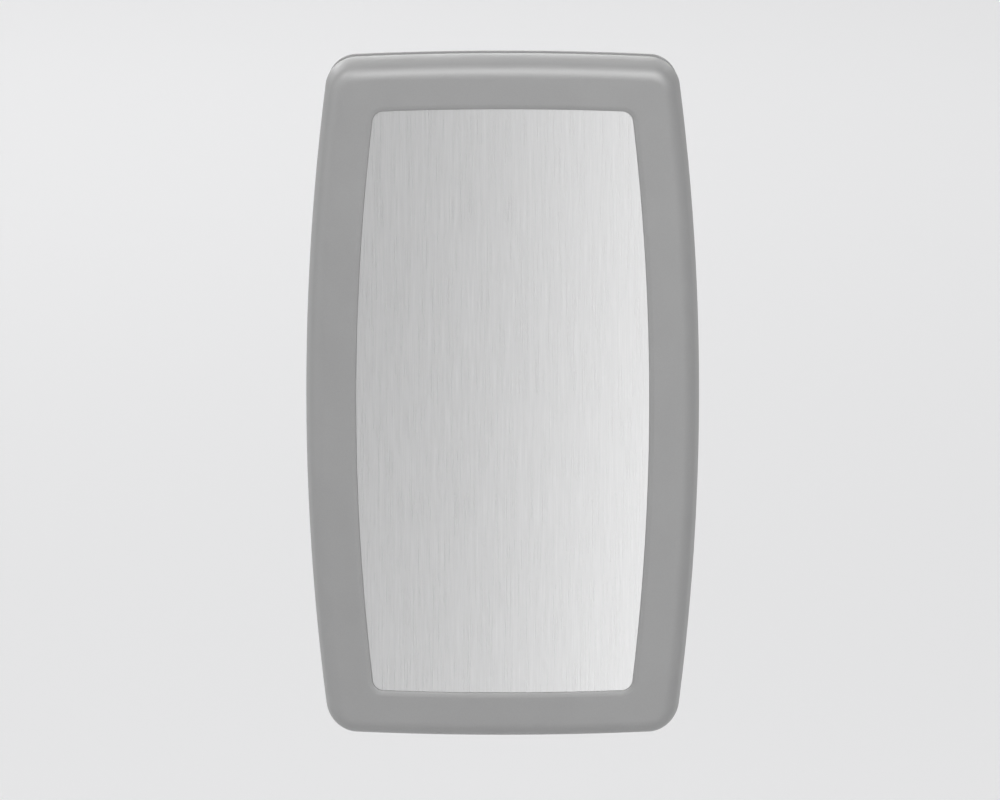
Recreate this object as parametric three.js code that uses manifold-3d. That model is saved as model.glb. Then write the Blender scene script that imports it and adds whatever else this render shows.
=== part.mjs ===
// Wall-mounted baby changing station with a bed that folds down, shown closed.
// Millimetres. The wall is the plane y = 0, the front faces -Y, +X is right and +Z is up.
// The origin is the middle of the wall face. The bed turns about the hinge rod near its foot.

import * as THREE from "three";
import { mergeVertices } from "three/addons/utils/BufferGeometryUtils.js";
import Module from "manifold-3d";

const wasm = await Module();
wasm.setup();

// Case, bed closed: bowed sides and ends, rounded corners
const caseWidth = 540;
const caseHeight = 957;
const caseDepth = 102;
const sideBowRadius = 3500;
const endBowRadius = 4400;
const caseCornerRadius = 44;

// Clearances
const seatGap = 0.3; // between pieces that rest on or in each other
const runningGap = 1.5; // round pieces that move past others
const heelGap = 3; // round the bed's heel, and between the closed bed and the wall shell

// Bed shell and the steel veneer let into it
const bedDepth = 56;
const bedWall = 4.5;
const frontEdgeRadius = 21;
const frontEdgeTurn = 75; // of the round edge, in degrees; a gentle crown takes the sides on from there
const rearEdgeRadius = 2.5;
const frameSide = 68.5; // grey frame beside the veneer
const frameEnd = 67.5; // grey frame above and below the veneer
const panelCornerRadius = 16;
const panelThickness = 1;
const panelSetback = 4.5;
const lipWidth = 7.2;

// Tray
const linerWall = 3.5;
const trayRim = 27;
const trayDepth = 36;
const trayMouthCorner = 60;
const traySideSlope = 88;
const trayEndSlope = 97;
const trayFloorCorner = 80;

// Wall shell
const shellInset = 11;
const shellWall = 4;
const shellEdgeRadius = 5;
const shellRim = 38;
const shellSetback = 2;
const shellSlope = 4; // width of the slope from the rim down to the panel
const shellPanelCorner = 24;
const shellBackGap = 0.5;
const wallFlange = 4.5; // round the shell's back, against the wall
const wallFlangeThickness = 3;

// Steel chassis on the wall
const chassisThickness = 3;
const chassisMargin = 50; // from the case's side and top
const chassisFoot = 20; // from the case's foot
const chassisCorner = 20;
const chassisFlange = 12;
const postRadius = 8;
const postInset = 45; // from the chassis's side
const postDrop = 54; // top post, below the chassis's top
const postBinGap = 29; // middle post, below the liner pocket
const postLift = 124; // bottom post, above the chassis's foot
const wallHoleRadius = 4.5;
const wallHoleInset = 55; // from the chassis's side
const wallHoleDrop = 29;
const wallHoleMiddle = -30;
const wallHoleLift = 59;
const lightHoleRadius = 30;
const lightHoleX = 110;
const lightHoleDrop = 94;
const lightHoleMiddle = -88;
const lightHoleLift = 164;

// Hinge
const hingeRise = 34; // axis above the case's foot
const rodRadius = 6;
const rodEnd = 6; // rod past the outer ears
const clipThickness = 1.5;
const clipRadius = 8.4;
const earThickness = 5;
const chassisEarRadius = 11;
const chassisEarFoot = 45;
const bedEarRadius = 13;
const bedEarFoot = 60;
const bushWall = 1.7;
const bushFlange = 1.5;
const bushFlangeRadius = 10.5;
const troughRadius = 9;
const innerEarX = 64;
const outerEarInset = 92; // outer ears, from the case's side

// Gas strut between the chassis and the bed's lever
const leverRadius = 24;
const leverAngle = -55;
const foldAngle = 90;
const strutSetback = 26; // anchor behind the hinge axis
const strutRise = 210; // anchor above the hinge axis
const barrelRadius = 10.5;
const barrelWall = 1.9;
const barrelEnd = 4;
const barrelLength = 110;
const strutRodRadius = 4;
const strutOverlap = 40; // rod inside the barrel, bed closed
const eyeRadius = 9;
const eyeWidth = 12;
const eyeNeck = 12;
const pinRadius = 4;
const pinHead = 2;
const pinHeadRadius = 6;
const leverHalfHeight = 9;
const lugThickness = 4;

// Steel frame inside the bed
const framePlate = 2.5;
const frameMargin = 70; // from the case's side
const frameFoot = 29; // from the case's foot
const frameLength = 400;
const frameFlange = 18;
const frameHoleRadius = 26;
const frameHoleX = 115;
const frameHoleHeights = [80, 200, 320];

// Liner pockets
const binWidth = 150;
const binHeight = 210;
const binDepth = 27;
const binWall = 2;
const binFlange = 9;
const binSpacing = 38; // between the two pockets' mouths
const binDrop = 324; // middle of the pockets, below the case's top
const binCorner = 8;
const coverThickness = 2.5;
const coverLip = 6;
const slotLength = 110;
const slotWidth = 30;

// Bag hooks
const hookX = 120;
const hookDrop = 139; // below the case's top
const hookWidth = 16;
const hookGap = 16;
const hookThickness = 6;
const hookRise = 38;
const hookTip = 16;
const hookPlateWidth = 34;
const hookPlateThickness = 3;
const hookPlateCorner = 8;
const hookStudRadius = 4;

// Rubber buttons
const bumperRadius = 7.5;
const bumperStemRadius = 3;
const bumperStem = 6;
const bumperInset = 24;
const bumperReach = 294; // from the case's top and foot
const padRadius = 9;
const padX = 120;
const padDrop = 16; // below the hinge axis
const padGap = 0.5;

// Safety strap and buckle, lying in the tray
const strapZ = -20;
const strapWidth = 38;
const strapThickness = 2;
const strapSlotStep = 3; // the slot, in the tray's steps from its mouth
const anchorBarRadius = 4;
const anchorReach = 13;
const anchorArm = 4;
const anchorFoot = 14;
const anchorFootThickness = 2;
const anchorSlack = 0.7; // for the facets of the shell's bowed side
const buckleWidth = 46;
const buckleThickness = 13;
const buckleCorner = 6;
const socketLength = 33;
const tongueLength = 14;
const prongLength = 22;
const prongWidth = 6;
const prongThickness = 5;
const windowInset = 5.5; // the side window, from the prong's ends
const buckleWall = 3.4;
const buckleBarRadius = 2.5;
const buckleBarReach = 11;

// Screws
const shellScrewRadius = 3;
const shellScrewHead = 6;
const shellScrewHeadHeight = 3.5;
const shellScrewLength = 16;
const linerScrewRadius = 2;
const linerScrewHead = 5;
const linerScrewHeadHeight = 2;
const linerScrewLength = 16;
const bossRadius = 5;
const bossReach = 154; // outer bosses, from the case's top and foot
const bossMiddle = 70; // middle boss, above the case's middle
const headBevel = 1; // on screw heads and rubber buttons

// Facets
const sideSteps = 4;
const cornerSteps = 5;
const endSteps = 2;
const edgeSteps = 4;
const crownSteps = 2;
const hollowEdgeSteps = 2;
const smallEdgeSteps = 2;
const traySteps = 6;
const roundSides = 12;
const smallSides = 8;
const arcSteps = 3;
const leastCorner = 2;

// Planes and axes that pieces share
const frontY = -caseDepth;
const bedRearY = frontY + bedDepth;
const shellFrontY = bedRearY + heelGap;
const shellPanelY = shellFrontY + shellSetback;
const shellPanelBackY = shellPanelY + shellWall;
const seatY = frontY + panelSetback + panelThickness + seatGap;
const topZ = caseHeight / 2;
const footZ = -caseHeight / 2;
const linerInset = bedWall + seatGap;
const hinge = new THREE.Vector2(bedRearY, footZ + hingeRise);
const heelBackY = hinge.x + hingeRise + heelGap;
const frameY = seatY + bedWall + seatGap;
const outerEarX = caseWidth / 2 - outerEarInset;
const rodReach = outerEarX + earThickness / 2 + rodEnd;
const binX = binSpacing / 2 + binWidth / 2;
const binZ = topZ - binDrop;
const overcut = 20; // how far a cut runs past a piece
const skim = 1; // the same, where a neighbour is close

// Outlines, each a bowed rectangle round the origin
const caseOutline = {
  halfWidth: caseWidth / 2,
  halfHeight: caseHeight / 2,
  sideRadius: sideBowRadius,
  endRadius: endBowRadius,
  corner: caseCornerRadius,
};

function shrink(outline, sideInset, endInset, corner) {
  return {
    halfWidth: outline.halfWidth - sideInset,
    halfHeight: outline.halfHeight - endInset,
    sideRadius: outline.sideRadius - sideInset,
    endRadius: outline.endRadius - endInset,
    corner,
  };
}

function inset(outline, distance) {
  return shrink(outline, distance, distance, Math.max(outline.corner - distance, leastCorner));
}

const panelOutline = shrink(caseOutline, frameSide, frameEnd, panelCornerRadius);
const mouthInset = linerInset + trayRim;
const mouthOutline = shrink(caseOutline, mouthInset, mouthInset, trayMouthCorner);
const floorOutline = shrink(mouthOutline, traySideSlope, trayEndSlope, trayFloorCorner);
const shellOutline = inset(caseOutline, shellInset);
const flangeOutline = inset(shellOutline, -wallFlange);
const shellPanelOutline = shrink(shellOutline, shellRim, shellRim, shellPanelCorner);

// Where a bowed side or end lies at a height or a width
function sideX(outline, z) {
  const { halfWidth, sideRadius } = outline;
  return halfWidth - sideRadius + Math.sqrt(sideRadius ** 2 - z ** 2);
}

function endZ(outline, x) {
  const { halfHeight, endRadius } = outline;
  return halfHeight - endRadius + Math.sqrt(endRadius ** 2 - x ** 2);
}

// The corner of two circles that lies right of and above the origin
function meet(centreA, radiusA, centreB, radiusB) {
  const between = centreB.clone().sub(centreA);
  const distance = between.length();
  const along = (radiusA ** 2 - radiusB ** 2 + distance ** 2) / (2 * distance);
  const across = Math.sqrt(radiusA ** 2 - along ** 2);
  const unit = between.divideScalar(distance);
  const foot = centreA.clone().addScaledVector(unit, along);
  const normal = new THREE.Vector2(-unit.y, unit.x);
  const tries = [across, -across].map((step) => foot.clone().addScaledVector(normal, step));
  return tries.reduce((best, point) => (point.x + point.y > best.x + best.y ? point : best));
}

// Points round a bowed rectangle, from +X towards +Z, always as many for every outline
function outlinePoints({ halfWidth, halfHeight, sideRadius, endRadius, corner }) {
  const sideCentre = new THREE.Vector2(halfWidth - sideRadius, 0);
  const endCentre = new THREE.Vector2(0, halfHeight - endRadius);
  const cornerCentre = meet(sideCentre, sideRadius - corner, endCentre, endRadius - corner);
  const sideAngle = cornerCentre.clone().sub(sideCentre).angle();
  const endAngle = cornerCentre.clone().sub(endCentre).angle();
  const arc = (centre, radius, from, to, steps) =>
    Array.from({ length: steps }, (_, i) => {
      const angle = from + ((to - from) * i) / steps;
      return new THREE.Vector2(Math.cos(angle), Math.sin(angle)).multiplyScalar(radius).add(centre);
    });
  const quarter = [
    ...arc(sideCentre, sideRadius, 0, sideAngle, sideSteps),
    ...arc(cornerCentre, corner, sideAngle, endAngle, cornerSteps),
    ...arc(endCentre, endRadius, endAngle, Math.PI / 2, endSteps),
  ];
  const inner = quarter.slice(1);
  const back = [...inner].reverse();
  const turned = (points, signX, signZ) =>
    points.map((point) => new THREE.Vector2(point.x * signX, point.y * signZ));
  return [
    ...quarter,
    new THREE.Vector2(0, halfHeight),
    ...turned(back, -1, 1),
    new THREE.Vector2(-halfWidth, 0),
    ...turned(inner, -1, -1),
    new THREE.Vector2(0, -halfHeight),
    ...turned(back, 1, -1),
  ];
}

const quarterTurn = (steps) => Array.from({ length: steps }, (_, i) => ((Math.PI / 2) * (i + 1)) / steps);
const lift = (points, y) => points.map((point) => new THREE.Vector3(point.x, y, point.y));
const ring = (outline, y) => lift(outlinePoints(outline), y);

// Closed skin through rings of points that run from the front to the back, with a fan over each end
function loft(rings) {
  const count = rings[0].length;
  const points = rings.flat();
  const triangles = [];
  for (let layer = 0; layer < rings.length - 1; layer++) {
    for (let i = 0; i < count; i++) {
      const next = (i + 1) % count;
      const [a, b] = [layer * count + i, layer * count + next];
      const [c, d] = [b + count, a + count];
      triangles.push(a, c, b, a, d, c);
    }
  }
  const middle = (loop) =>
    loop.reduce((sum, point) => sum.add(point), new THREE.Vector3()).divideScalar(count);
  const last = (rings.length - 1) * count;
  points.push(middle(rings[0]), middle(rings[rings.length - 1]));
  for (let i = 0; i < count; i++) {
    const next = (i + 1) % count;
    triangles.push(points.length - 2, i, next);
    triangles.push(points.length - 1, last + next, last + i);
  }
  return new THREE.BufferGeometry().setFromPoints(points).setIndex(triangles);
}

// Solids for cutting and joining
function solid(geometry) {
  const bare = geometry.index ? geometry.toNonIndexed() : geometry.clone();
  bare.deleteAttribute("normal");
  bare.deleteAttribute("uv");
  const merged = mergeVertices(bare, 1e-4);
  const mesh = new wasm.Mesh({
    numProp: 3,
    vertProperties: merged.attributes.position.array,
    triVerts: new Uint32Array(merged.index.array),
  });
  return new wasm.Manifold(mesh);
}

function geometryOf(body) {
  const { vertProperties, triVerts } = body.getMesh();
  const geometry = new THREE.BufferGeometry();
  geometry.setAttribute("position", new THREE.BufferAttribute(new Float32Array(vertProperties), 3));
  geometry.setIndex(new THREE.BufferAttribute(new Uint32Array(triVerts), 1));
  geometry.computeVertexNormals();
  return geometry;
}

const span = (a, b) => [Math.min(a, b), Math.max(a, b)];
const join = (...bodies) => bodies.reduce((sum, body) => sum.add(body));
const cut = (body, ...tools) => tools.reduce((rest, tool) => rest.subtract(tool), body);

function block([x0, x1], [y0, y1], [z0, z1]) {
  const box = new THREE.BoxGeometry(x1 - x0, y1 - y0, z1 - z0);
  return solid(box.translate((x0 + x1) / 2, (y0 + y1) / 2, (z0 + z1) / 2));
}

// Round bars along X, Y and Z
function barX(radius, x0, x1, y, z, sides = roundSides) {
  const bar = new THREE.CylinderGeometry(radius, radius, x1 - x0, sides).rotateZ(Math.PI / 2);
  return solid(bar.translate((x0 + x1) / 2, y, z));
}

function barY(radius, y0, y1, x, z, sides = roundSides) {
  const bar = new THREE.CylinderGeometry(radius, radius, y1 - y0, sides);
  return solid(bar.translate(x, (y0 + y1) / 2, z));
}

function barZ(radius, z0, z1, x, y, sides = roundSides) {
  const bar = new THREE.CylinderGeometry(radius, radius, z1 - z0, sides).rotateX(Math.PI / 2);
  return solid(bar.translate(x, y, (z0 + z1) / 2));
}

// A faceted hole that still clears a round bar of this radius
const holeFor = (radius, gap, sides = roundSides) => (radius + gap) / Math.cos(Math.PI / sides);

const extrude = (shape, depth) =>
  new THREE.ExtrudeGeometry(shape, { depth, bevelEnabled: false, curveSegments: arcSteps });

// A slab whose shape is drawn in x and z and whose back lies at y
function slabXZ(shape, y, thickness) {
  return solid(extrude(shape, thickness).rotateX(Math.PI / 2).translate(0, y, 0));
}

// A slab whose shape is drawn in y and z and whose middle lies at x
function slabYZ(shape, x, thickness) {
  const slab = extrude(shape, thickness).rotateX(Math.PI / 2).rotateZ(Math.PI / 2);
  return solid(slab.translate(x - thickness / 2, 0, 0));
}

function roundedRectangle(width, height, radius, x = 0, z = 0) {
  const shape = new THREE.Shape();
  const [right, top] = [width / 2 - radius, height / 2 - radius];
  shape.absarc(x + right, z + top, radius, 0, Math.PI / 2);
  shape.absarc(x - right, z + top, radius, Math.PI / 2, Math.PI);
  shape.absarc(x - right, z - top, radius, Math.PI, Math.PI * 1.5);
  shape.absarc(x + right, z - top, radius, Math.PI * 1.5, Math.PI * 2);
  shape.closePath();
  return shape;
}

// Materials
const finish = (color, roughness, metalness) =>
  new THREE.MeshStandardMaterial({ color, roughness, metalness });
const greyMoulding = () => finish(0x9c9c9c, 0.55, 0);
const brushedSteel = () => finish(0xc9cacb, 0.35, 1);
const platedSteel = () => finish(0xaeb0b2, 0.4, 1);
const blackSteel = () => finish(0x2a2b2d, 0.45, 0.6);
const blackRubber = () => finish(0x1d1d1e, 0.85, 0);
const blackWebbing = () => finish(0x26272a, 0.9, 0);
const blackPlastic = () => finish(0x202124, 0.5, 0);
const whitePlastic = () => finish(0xe6e5e0, 0.5, 0);

function piece(name, body, material) {
  const geometry = body.isBufferGeometry ? body : geometryOf(body);
  const mesh = new THREE.Mesh(geometry, material);
  mesh.name = name;
  return mesh;
}

const sides = [-1, 1];
const sideName = (side) => (side < 0 ? "left" : "right");

// Where the hinge's ears stand. Each bed ear runs beside a chassis ear, with a bush's flange between.
const earStep = earThickness + bushFlange + 2 * seatGap;
const ears = sides.flatMap((side) => [
  { chassisX: side * outerEarX, bedX: side * (outerEarX - earStep), flangeSide: side },
  { chassisX: side * innerEarX, bedX: side * (innerEarX + earStep), flangeSide: -side },
]);

// The strut's ends and how far it leans at each angle of the bed
const radians = THREE.MathUtils.degToRad;
const anchor = new THREE.Vector2(hinge.x + strutSetback, hinge.y + strutRise);
const leverEnd = (fold) =>
  new THREE.Vector2(leverRadius, 0)
    .rotateAround(new THREE.Vector2(), radians(leverAngle + fold))
    .add(hinge);
const strutLeanAt = (fold) => {
  const along = leverEnd(fold).sub(anchor);
  return Math.atan2(along.x, -along.y);
};
const leanEnds = (strutLeanAt(0) + strutLeanAt(foldAngle)) / 2;
const leanBulge = strutLeanAt(foldAngle / 2) - leanEnds;
const strutLean = strutLeanAt(0) + leanBulge / 2; // so that rod and barrel stay within their clearance
const leverRest = leverEnd(0);
const strutLength = leverRest.distanceTo(anchor);
const leverPlateX = eyeWidth / 2 + runningGap + earThickness / 2;
const leverReach = leverPlateX + earThickness / 2;

// The bed's edge in section: a round from the flat face, then a crown that runs out at the rear edge
const edgeTurn = radians(frontEdgeTurn);
const crownDepth = bedDepth - rearEdgeRadius;
const crownRadius = (crownDepth - frontEdgeRadius * (1 - Math.cos(edgeTurn))) / Math.cos(edgeTurn);
const faceInset = frontEdgeRadius * Math.sin(edgeTurn) + crownRadius * (1 - Math.sin(edgeTurn));
const crownInset = (y) => crownRadius - Math.sqrt(crownRadius ** 2 - (crownDepth + frontY - y) ** 2);

function bedEdge(wall, roundSteps, sideSteps) {
  const arc = (radius, centreInset, centreDepth, from, to, steps) =>
    Array.from({ length: steps }, (_, i) => {
      const angle = from + ((to - from) * (i + 1)) / steps;
      const reach = radius - wall;
      const y = frontY + centreDepth - reach * Math.cos(angle);
      return ring(inset(caseOutline, centreInset - reach * Math.sin(angle)), y);
    });
  return [
    ...arc(frontEdgeRadius, faceInset, frontEdgeRadius, 0, edgeTurn, roundSteps),
    ...arc(crownRadius, crownRadius, crownDepth, edgeTurn, Math.PI / 2, sideSteps),
  ];
}

// Bed shell: rounded front edge, a recess with a sloped lip, a hollow behind and bosses for the tray
function bedShell() {
  const lipOuter = seatGap + lipWidth;
  const rearEdge = quarterTurn(smallEdgeSteps).map((angle) => {
    const distance = rearEdgeRadius * (1 - Math.cos(angle));
    return ring(inset(caseOutline, distance), bedRearY - rearEdgeRadius * (1 - Math.sin(angle)));
  });
  const outside = loft([
    ring(inset(panelOutline, -seatGap), seatY),
    ring(inset(panelOutline, -seatGap), frontY + panelSetback),
    ring(inset(panelOutline, -seatGap - lipWidth / 2), frontY + panelSetback / 3),
    ring(inset(panelOutline, -lipOuter), frontY),
    ring(inset(caseOutline, faceInset), frontY),
    ...bedEdge(0, edgeSteps, crownSteps),
    ...rearEdge,
  ]);
  const hollow = loft([
    ring(inset(panelOutline, -lipOuter), seatY + bedWall),
    ring(inset(panelOutline, -lipOuter - bedWall / 2), frontY + bedWall),
    ring(inset(caseOutline, faceInset), frontY + bedWall),
    ...bedEdge(bedWall, hollowEdgeSteps, crownSteps),
    ring(inset(caseOutline, bedWall), bedRearY + overcut),
  ]);
  const outer = solid(outside);
  const posts = bossPlaces.map(([x, z]) =>
    barY(bossRadius, frontY + bedWall / 2, bedRearY - linerWall - seatGap, x, z, smallSides),
  );
  const pilots = bossPlaces.map(([x, z]) => {
    const hole = holeFor(linerScrewRadius, seatGap, smallSides);
    const tip = bedRearY - linerScrewHeadHeight - linerScrewLength - seatGap;
    return barY(hole, tip, bedRearY, x, z, smallSides);
  });
  const shell = join(cut(outer, solid(hollow)), join(...posts).intersect(outer));
  return cut(shell, ...pilots, ...earSlots());
}

// Screws that hold the tray sit along the middle of its rim
const bossLine = inset(caseOutline, linerInset + trayRim / 2);
const bossHeights = [topZ - bossReach, bossMiddle, footZ + bossReach];
const bossPlaces = sides.flatMap((side) => bossHeights.map((z) => [side * sideX(bossLine, z), z]));

// Slots in the bed's heel that let the chassis ears through as the bed turns
function earSlots() {
  const reach = chassisEarRadius + runningGap;
  return ears.map(({ chassisX }) => {
    const half = earThickness / 2 + runningGap;
    return block(
      [chassisX - half, chassisX + half],
      [hinge.x - reach, hinge.x + overcut],
      [footZ - overcut, hinge.y + reach],
    );
  });
}

// Tray: a rim that fills the shell's mouth and an even dish that falls smoothly to a flat floor
const ease = (share) => share * share * (3 - 2 * share);
const trayY = (share) => bedRearY - trayDepth * ease(share);

function trayRings(drop) {
  const [mouth, floor] = [outlinePoints(mouthOutline), outlinePoints(floorOutline)];
  return Array.from({ length: traySteps + 1 }, (_, step) => {
    const share = step / traySteps;
    return lift(mouth.map((point, i) => point.clone().lerp(floor[i], share)), trayY(share) - drop);
  });
}

function bedLiner() {
  const edge = inset(caseOutline, linerInset);
  const upper = trayRings(0);
  const skin = loft([
    ...trayRings(linerWall).reverse(),
    ring(edge, bedRearY - linerWall),
    ring(edge, bedRearY),
    ...upper,
  ]);
  const filled = loft([ring(edge, frontY), ring(edge, bedRearY), ...upper]);
  const troughEnd = rodReach + runningGap;
  const trough = barX(troughRadius + linerWall, -troughEnd - linerWall, troughEnd + linerWall, ...hinge);
  const groove = barX(troughRadius, -troughEnd, troughEnd, ...hinge);
  const bedEars = ears.map(({ bedX, chassisX, flangeSide }) => {
    const reach = bedEarRadius + seatGap;
    return block(
      span(bedX - flangeSide * (earThickness / 2 + seatGap), chassisX),
      [hinge.x - 2 * reach, hinge.x + reach],
      [hinge.y - reach, hinge.y + reach],
    );
  });
  const leverHalf = leverReach + seatGap;
  const leverBelow = Math.max(bedEarRadius, leverHalfHeight / Math.cos(radians(leverAngle))) + seatGap;
  const leverAbove = bedEarRadius + seatGap;
  const lever = block(
    [-leverHalf, leverHalf],
    [hinge.x - 2 * leverAbove, hinge.x + leverAbove],
    [hinge.y - leverBelow, hinge.y + leverAbove],
  );
  const screwHoles = bossPlaces.flatMap(([x, z]) => {
    const hole = (radius, y) =>
      barY(holeFor(radius, seatGap, smallSides), y, bedRearY + skim, x, z, smallSides);
    return [
      hole(linerScrewRadius, bedRearY - overcut),
      hole(linerScrewHead, bedRearY - linerScrewHeadHeight - seatGap),
    ];
  });
  const strapSlots = sides.map((side) => {
    const half = strapThickness / 2 + runningGap;
    return block(
      span(side * (strapSlot.x - overcut), side * (strapSlot.x + overcut)),
      [strapSlot.y - half, strapSlot.y + half],
      [strapZ - strapWidth / 2 - runningGap, strapZ + strapWidth / 2 + runningGap],
    );
  });
  const body = join(solid(skin), trough.intersect(solid(filled)));
  return cut(body, groove, ...bedEars, ...earSlots(), lever, ...screwHoles, ...strapSlots);
}

// Steel veneer in its recess
function steelPanel() {
  return loft([ring(panelOutline, frontY + panelSetback), ring(panelOutline, seatY - seatGap)]);
}

// A hinge ear drawn in y and z: round the axis at one end, spread along a plate at the other
function earShape(radius, plateY, foot) {
  const away = Math.sign(hinge.x - plateY);
  const neckY = hinge.x - away * radius;
  const shape = new THREE.Shape();
  shape.moveTo(plateY, hinge.y - radius);
  shape.lineTo(hinge.x, hinge.y - radius);
  shape.absarc(hinge.x, hinge.y, radius, -Math.PI / 2, Math.PI / 2, away < 0);
  shape.lineTo(neckY, hinge.y + radius);
  shape.lineTo(plateY, hinge.y + foot);
  shape.closePath();
  return shape;
}

// Bed frame: a plate with side flanges, four hinge ears and the forked strut lever
function bedFrame() {
  const half = caseWidth / 2 - frameMargin;
  const foot = footZ + frameFoot;
  const top = foot + frameLength;
  const backY = frameY + framePlate;
  const plate = block([-half, half], [frameY, backY], [foot, top]);
  const flanges = sides.map((side) =>
    block(span(side * half, side * (half - framePlate)), [frameY, backY + frameFlange], [foot, top]),
  );
  const root = frameY + framePlate / 2;
  const earAt = (x) => slabYZ(earShape(bedEarRadius, root, bedEarFoot), x, earThickness);
  const hingeEars = ears.map(({ bedX }) => earAt(bedX));
  const bushHole = holeFor(holeFor(rodRadius, seatGap) + bushWall, seatGap);
  const earHoles = ears.map(({ bedX }) =>
    barX(bushHole, bedX - earThickness, bedX + earThickness, ...hinge),
  );
  const levers = sides.map((side) => {
    const x = side * leverPlateX;
    const arm = new THREE.Shape();
    const across = leverRest.clone().sub(hinge).angle() + Math.PI / 2;
    arm.absarc(hinge.x, hinge.y, leverHalfHeight, across, across + Math.PI);
    arm.absarc(leverRest.x, leverRest.y, leverHalfHeight, across + Math.PI, across + 2 * Math.PI);
    arm.closePath();
    return join(earAt(x), slabYZ(arm, x, earThickness));
  });
  const leverHoles = [
    barX(holeFor(rodRadius, seatGap), -leverReach - skim, leverReach + skim, ...hinge),
    barX(holeFor(pinRadius, seatGap), -leverReach - skim, leverReach + skim, ...leverRest),
  ];
  const lightening = sides.flatMap((side) =>
    frameHoleHeights.map((rise) =>
      barY(frameHoleRadius, frameY - skim, backY + skim, side * frameHoleX, foot + rise),
    ),
  );
  const body = join(plate, ...flanges, ...hingeEars, ...levers);
  return cut(body, ...earHoles, ...leverHoles, ...lightening);
}

// Wall shell: a shallow tray upside down over the chassis, with a flange along the wall and a notch in
// which the bed's heel turns
function wallShell() {
  const edge = quarterTurn(smallEdgeSteps).map((angle) => {
    const distance = shellEdgeRadius * (1 - Math.sin(angle));
    return ring(inset(shellOutline, distance), shellFrontY + shellEdgeRadius * (1 - Math.cos(angle)));
  });
  const outside = loft([
    ring(inset(shellPanelOutline, shellSlope), shellPanelY),
    ring(shellPanelOutline, shellFrontY),
    ring(inset(shellOutline, shellEdgeRadius), shellFrontY),
    ...edge,
    ring(shellOutline, -wallFlangeThickness),
    ring(flangeOutline, -wallFlangeThickness),
    ring(flangeOutline, -shellBackGap),
  ]);
  const hollow = loft([
    ring(inset(shellPanelOutline, shellSlope), shellPanelBackY),
    ring(shellPanelOutline, shellFrontY + shellWall),
    ring(inset(shellOutline, shellWall), shellFrontY + shellWall),
    ring(inset(shellOutline, shellWall), overcut),
  ]);
  const wide = caseWidth / 2 + overcut;
  const heelTop = hinge.y + heelGap;
  const deep = footZ - overcut;
  const notch = (wall) =>
    join(
      block([-wide, wide], [shellFrontY - overcut, heelBackY + wall], [deep, heelTop + wall]),
      barX(troughRadius + wall, -rodReach - runningGap - wall, rodReach + runningGap + wall, ...hinge),
    );
  const moulding = cut(cut(solid(outside), notch(0)), cut(solid(hollow), notch(shellWall)));
  const reach = bedEarRadius + runningGap;
  const earHalf = earThickness / 2 + runningGap;
  const earCuts = ears.flatMap(({ chassisX, bedX }) => [
    block(
      [chassisX - earHalf, chassisX + earHalf],
      [shellFrontY - overcut, -chassisThickness],
      [hinge.y - reach, hinge.y + reach],
    ),
    barX(reach, bedX - earHalf, bedX + earHalf, ...hinge),
  ]);
  const leverHalf = leverReach + pinHead + runningGap + seatGap;
  const leverCuts = [
    barX(leverRadius, -leverHalf, leverHalf, ...hinge),
    block(
      [-leverHalf, leverHalf],
      [shellFrontY + shellWall, heelBackY - runningGap],
      [deep, heelTop + shellWall + runningGap],
    ),
  ];
  const binCuts = sides.map((side) =>
    block(
      [side * binX - binWidth / 2 - binWall - seatGap, side * binX + binWidth / 2 + binWall + seatGap],
      [shellPanelY - overcut, shellPanelBackY + overcut],
      [binZ - binHeight / 2 - binWall - seatGap, binZ + binHeight / 2 + binWall + seatGap],
    ),
  );
  const through = (radius, x, z) => {
    const hole = holeFor(radius, seatGap, smallSides);
    return barY(hole, shellFrontY - skim, shellPanelBackY + skim, x, z, smallSides);
  };
  const holes = [
    ...postPlaces.map(([x, z]) => through(shellScrewRadius, x, z)),
    ...bumperPlaces.map(([x, z]) => through(bumperStemRadius, x, z)),
    ...sides.map((side) => through(hookStudRadius, side * hookX, hookZ)),
  ];
  return cut(moulding, ...earCuts, ...leverCuts, ...binCuts, ...holes);
}

// Bumpers sit along the wall shell's rim
const bumperLine = inset(caseOutline, bumperInset);
const bumperHeights = [topZ - bumperReach, footZ + bumperReach];
const bumperPlaces = sides.flatMap((side) =>
  bumperHeights.map((z) => [side * sideX(bumperLine, z), z]),
);

// Chassis: a flanged plate with screw posts, hinge ears and two lugs for the strut
const chassisHalf = caseWidth / 2 - chassisMargin;
const chassisTop = topZ - chassisMargin;
const chassisBottom = footZ + chassisFoot;
const chassisHeights = (drop, middle, lift) => [chassisTop - drop, middle, chassisBottom + lift];
const postHeights = chassisHeights(postDrop, binZ - binHeight / 2 - binWall - postBinGap, postLift);
const postPlaces = sides.flatMap((side) =>
  postHeights.map((z) => [side * (chassisHalf - postInset), z]),
);

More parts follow.
